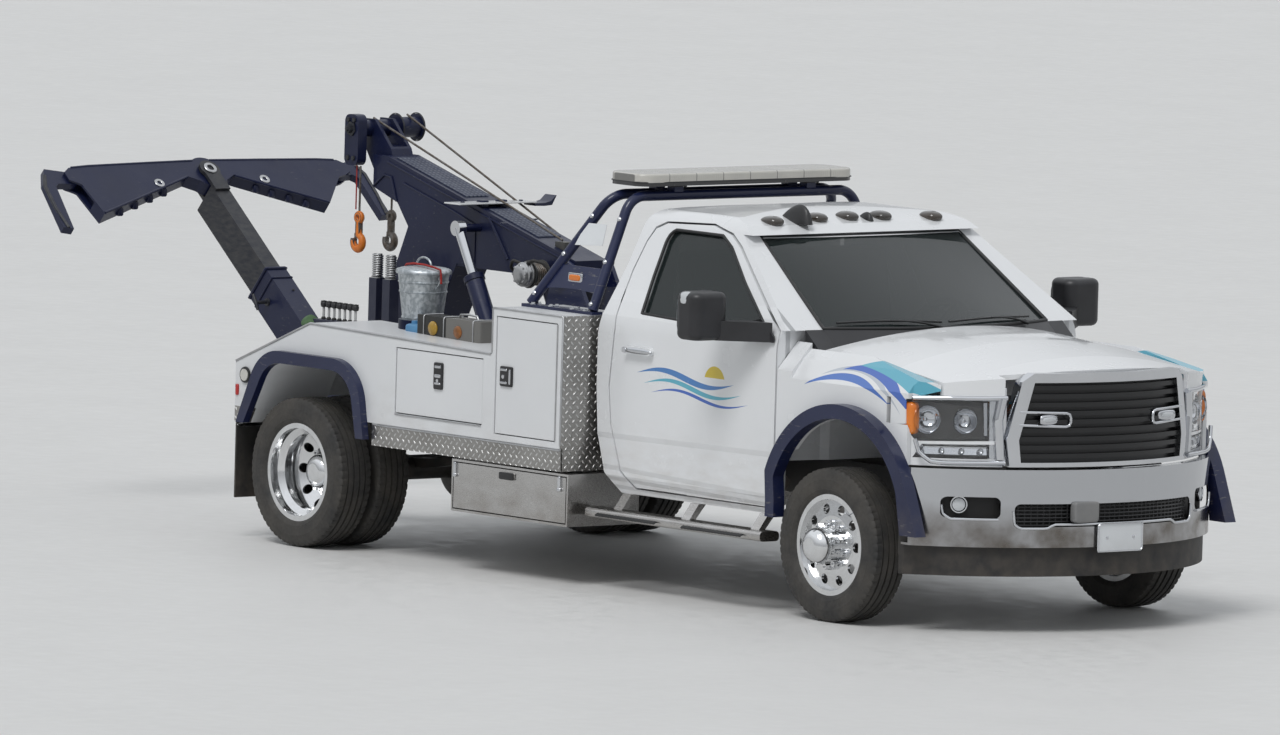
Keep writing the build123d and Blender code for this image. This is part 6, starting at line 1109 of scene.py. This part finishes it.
for side, end_y, end_reach in ((1, 690, 270), (-1, 878, 297)):
    low_edge = ((165, 34), (0.5 * (165 + end_y), 0.5 * (34 + end_reach)), (end_y - 6, end_reach - 6))
    top_edge = ((60, -90), (400, -83), (790, -73), (905, -64))
    for run, radius in ((low_edge, 8), (top_edge, 7)):
        y, reach = np.transpose(run)
        forms.append(tube(on_bar(side * y, reach, -38), radius, 8, seen_face))
    forms += [pillow(on_bar(side * (165 + share * (end_y - 165)), 36 + share * (end_reach - 34), 8),
                     (16, 20, 24), (4, 4, 4), 9, 16) for share in (0.25, 0.42, 0.6, 0.78)]
add_piece("crossbar_edges", forms, lift_paint, "crossbar_body", sharp=40)
CLAW_RIDGES = (((1050, -28), (1074, 40), (1066, 200), (1042, 356)), ((1100, -24), (1140, 60), (1162, 220), (1162, 380)))
for (side, name), outline in zip(SIDES, CLAW_RIDGES):
    y, reach = np.transpose(outline)
    add_piece(f"claw_ridge_{name}", [tube(on_bar(side * y, reach, -22), 10, 10, seen_face),
                                     head(on_bar(side * 925, 0, -24), seen_face, 20, 19, 4, 5, 20)],
              slide_steel, f"claw_{name}_body", sharp=40)

# Deck gear: control levers with ball knobs, navy spring posts, and the tow light box; one CAD node whose
# finishes are told apart by place.
deck_finish, shader = blank_finish("deck_finish", coat=0.1)
x, y, z = axes(shader)
post = ramp(x, -1.74, -1.745)
box = ramp(x, -0.80, -0.79)
rod = (1.0 - box) * ramp(z, 1.1965, 1.197)
tone = patchy(shader, 6, 5, (0.010, 0.013, 0.036), (0.020, 0.023, 0.046))
for mask, colour in ((rod * (1.0 - post), (0.42, 0.42, 0.42)),
                     (rod * ramp(z, 1.2615, 1.262) * (1.0 - post), (0.012, 0.012, 0.012)),
                     (post * ramp(z, 1.3755, 1.376), (0.05, 0.05, 0.05)), (box, (0.16, 0.155, 0.145)),
                     (box * ramp(x, -0.452, -0.453), (0.018, 0.018, 0.017))):
    tone = mixed(mask, tone, colour)
set_looks(shader, tone, noise(shader, 20, 5) * 0.3 + 0.35, noise(shader, 140, 3), 0.0004)
dress(deck_finish, "deck_gear")
SPRING_SEAT, COILS = [(0, 0), (0, 34), (5, 34), (8, 28), (9, 0)], 10
t = np.linspace(0, 1, 260)
forms = []
for station in (-497, -380):
    coil = at(station + 27 * np.cos(2 * COILS * pi * t), -300 + 27 * np.sin(2 * COILS * pi * t), 1380 + 124 * t)
    forms += [tube(coil, 4.5, 6, Z), turned(SPRING_SEAT, at(station, -300, 1376), Z, 28)]
add_piece("post_springs", forms, trim_aluminium, sharp=60)
LEVERS = [(-190 + 46 * i, side * 900) for i in range(7) for side in (1, -1)]
add_piece("lever_knobs", [pillow(at(s, y, 1277), (18.5, 18.5, 19.5), (2, 2, 2.2), 11, 16) for s, y in LEVERS],
          black_moulding, sharp=60)
add_piece("lever_boots", [pillow(at(s, y, 1200), (13, 13, 12), (2, 2, 2), 9, 14) for s, y in LEVERS],
          flap_rubber, sharp=60)
DOME = np.array([(0, 0), (0, 38), (6, 38), (12, 32), (16, 20), (18, 0)])
for name, glass_name, colour, second, station, z, size in (
        ("lens", "lamp_yellow", (0.46, 0.28, 0.025), (0.30, 0.17, 0.02), 838, 1232, (1, 1)),
        ("disc", "lamp_brown", (0.30, 0.10, 0.012), (0.16, 0.06, 0.012), 1050, 1228, (0.8, 0.9))):
    glass = surface(glass_name, colour, second, (0.15, 0.3), coat=0.3, patch=30, grain=200)
    add_piece(f"tow_light_{name}", turned(DOME * size, at(station, -964, z), -Y, 32), glass, sharp=40)
BAND = np.array([(-836, 1298), (-900, 1299), (-960, 1298), (-967, 1290), (-967, 1230), (-967, 1180)])
forms = [tube(at(s, *BAND.T), 4, 8, X) for s in (760, 930, 1180)]
forms.append(tube(in_plane(-900, ((980, 1298), (990, 1316), (1060, 1320), (1130, 1316), (1140, 1298))), 6))
add_piece("tow_light_bands", forms, trim_aluminium, sharp=60)
bottle_blue = surface("bottle_blue", (0.07, 0.22, 0.42), (0.10, 0.28, 0.48), (0.3, 0.5), patch=10, grain=120)
bottle = [pillow(at(650, -905, 1206), (78, 50, 32), (6, 5, 5), 13, 32),
          head(at(608, -905, 1236), Z, 20, 19, 16, 18, 20)]
add_piece("deck_bottle", bottle, bottle_blue)
rag = surface("green_cloth", (0.06, 0.12, 0.05), (0.09, 0.16, 0.08), (0.8, 0.95), patch=30, grain=260, depth=0.001)
add_piece("deck_cloth", pillow(at(-262, -930, 1168), (52, 46, 46), (2.4, 2.8, 1.6)), rag, sharp=70)

# Bucket: galvanised steel, rolled at the rim, with three pressed bands, a lid with a handle, a wire bail and
# a red shock cord over the lid; it stands in a navy ring holder.
zinc, shader = blank_finish("zinc", metal=0.85)
spangle = patchy(shader, 55, 2, (0.34, 0.37, 0.39), (0.52, 0.55, 0.57), 0.42, 0.58, (1, 1, 0.7))
set_looks(shader, mixed(ramp(axes(shader)[2], 1.2505, 1.2495), spangle, (0.012, 0.016, 0.045)),
          noise(shader, 40, 3) * 0.25 + 0.3, noise(shader, 60, 2), 0.0003)
dress(zinc, "bucket")
BUCKET_X, BUCKET_Y = 530, -795
LID = [(-10, 145), (-6, 150), (4, 150), (12, 144), (20, 120), (28, 60), (30, 0)]
forms = []
for z in (1262, 1400, 1452):
    r = 108 + 30 * (z - 1250) / 250
    forms.append(turned([(-6, r - 1), (-3, r + 4), (3, r + 4.5), (6, r - 1)], at(BUCKET_X, BUCKET_Y, z), Z, 56))
forms.append(turned(LID, at(BUCKET_X, BUCKET_Y, 1506), Z, 56))
add_piece("bucket_bands", forms, zinc)
t = np.linspace(0, pi, 21)
arch = at(BUCKET_X + 62 * np.cos(t), BUCKET_Y, 1536 + 44 * np.sin(t))
t = np.linspace(0, pi, 31)
bail = at(BUCKET_X + 148 * np.cos(t), BUCKET_Y - 34 * np.sin(t), 1478 - 116 * np.sin(t))
ears = [head(at(BUCKET_X + e * 140, BUCKET_Y, 1478), e * X, 13, 12, 6, 8, 14) for e in (1, -1)]
add_piece("bucket_handles", [tube(arch, 6, 10), tube(bail, 3.5, 8, (0, 0.6, 1)), *ears], zinc, sharp=60)
CORD = [(0, 1390), (0.03, 1440), (0.05, 1490), (0.16, 1524), (0.7, 1536), (1.3, 1546), (1.9, 1546), (2.5, 1536),
        (3.0, 1524), (3.1, 1490), (3.14, 1450)]
t, z = np.transpose(CORD)
add_piece("bucket_cord", tube(at(BUCKET_X - 152 * np.cos(t), BUCKET_Y - 40 * np.sin(t), z), 6, 8, (0, 1, 0.15)),
          strap_red, sharp=60)
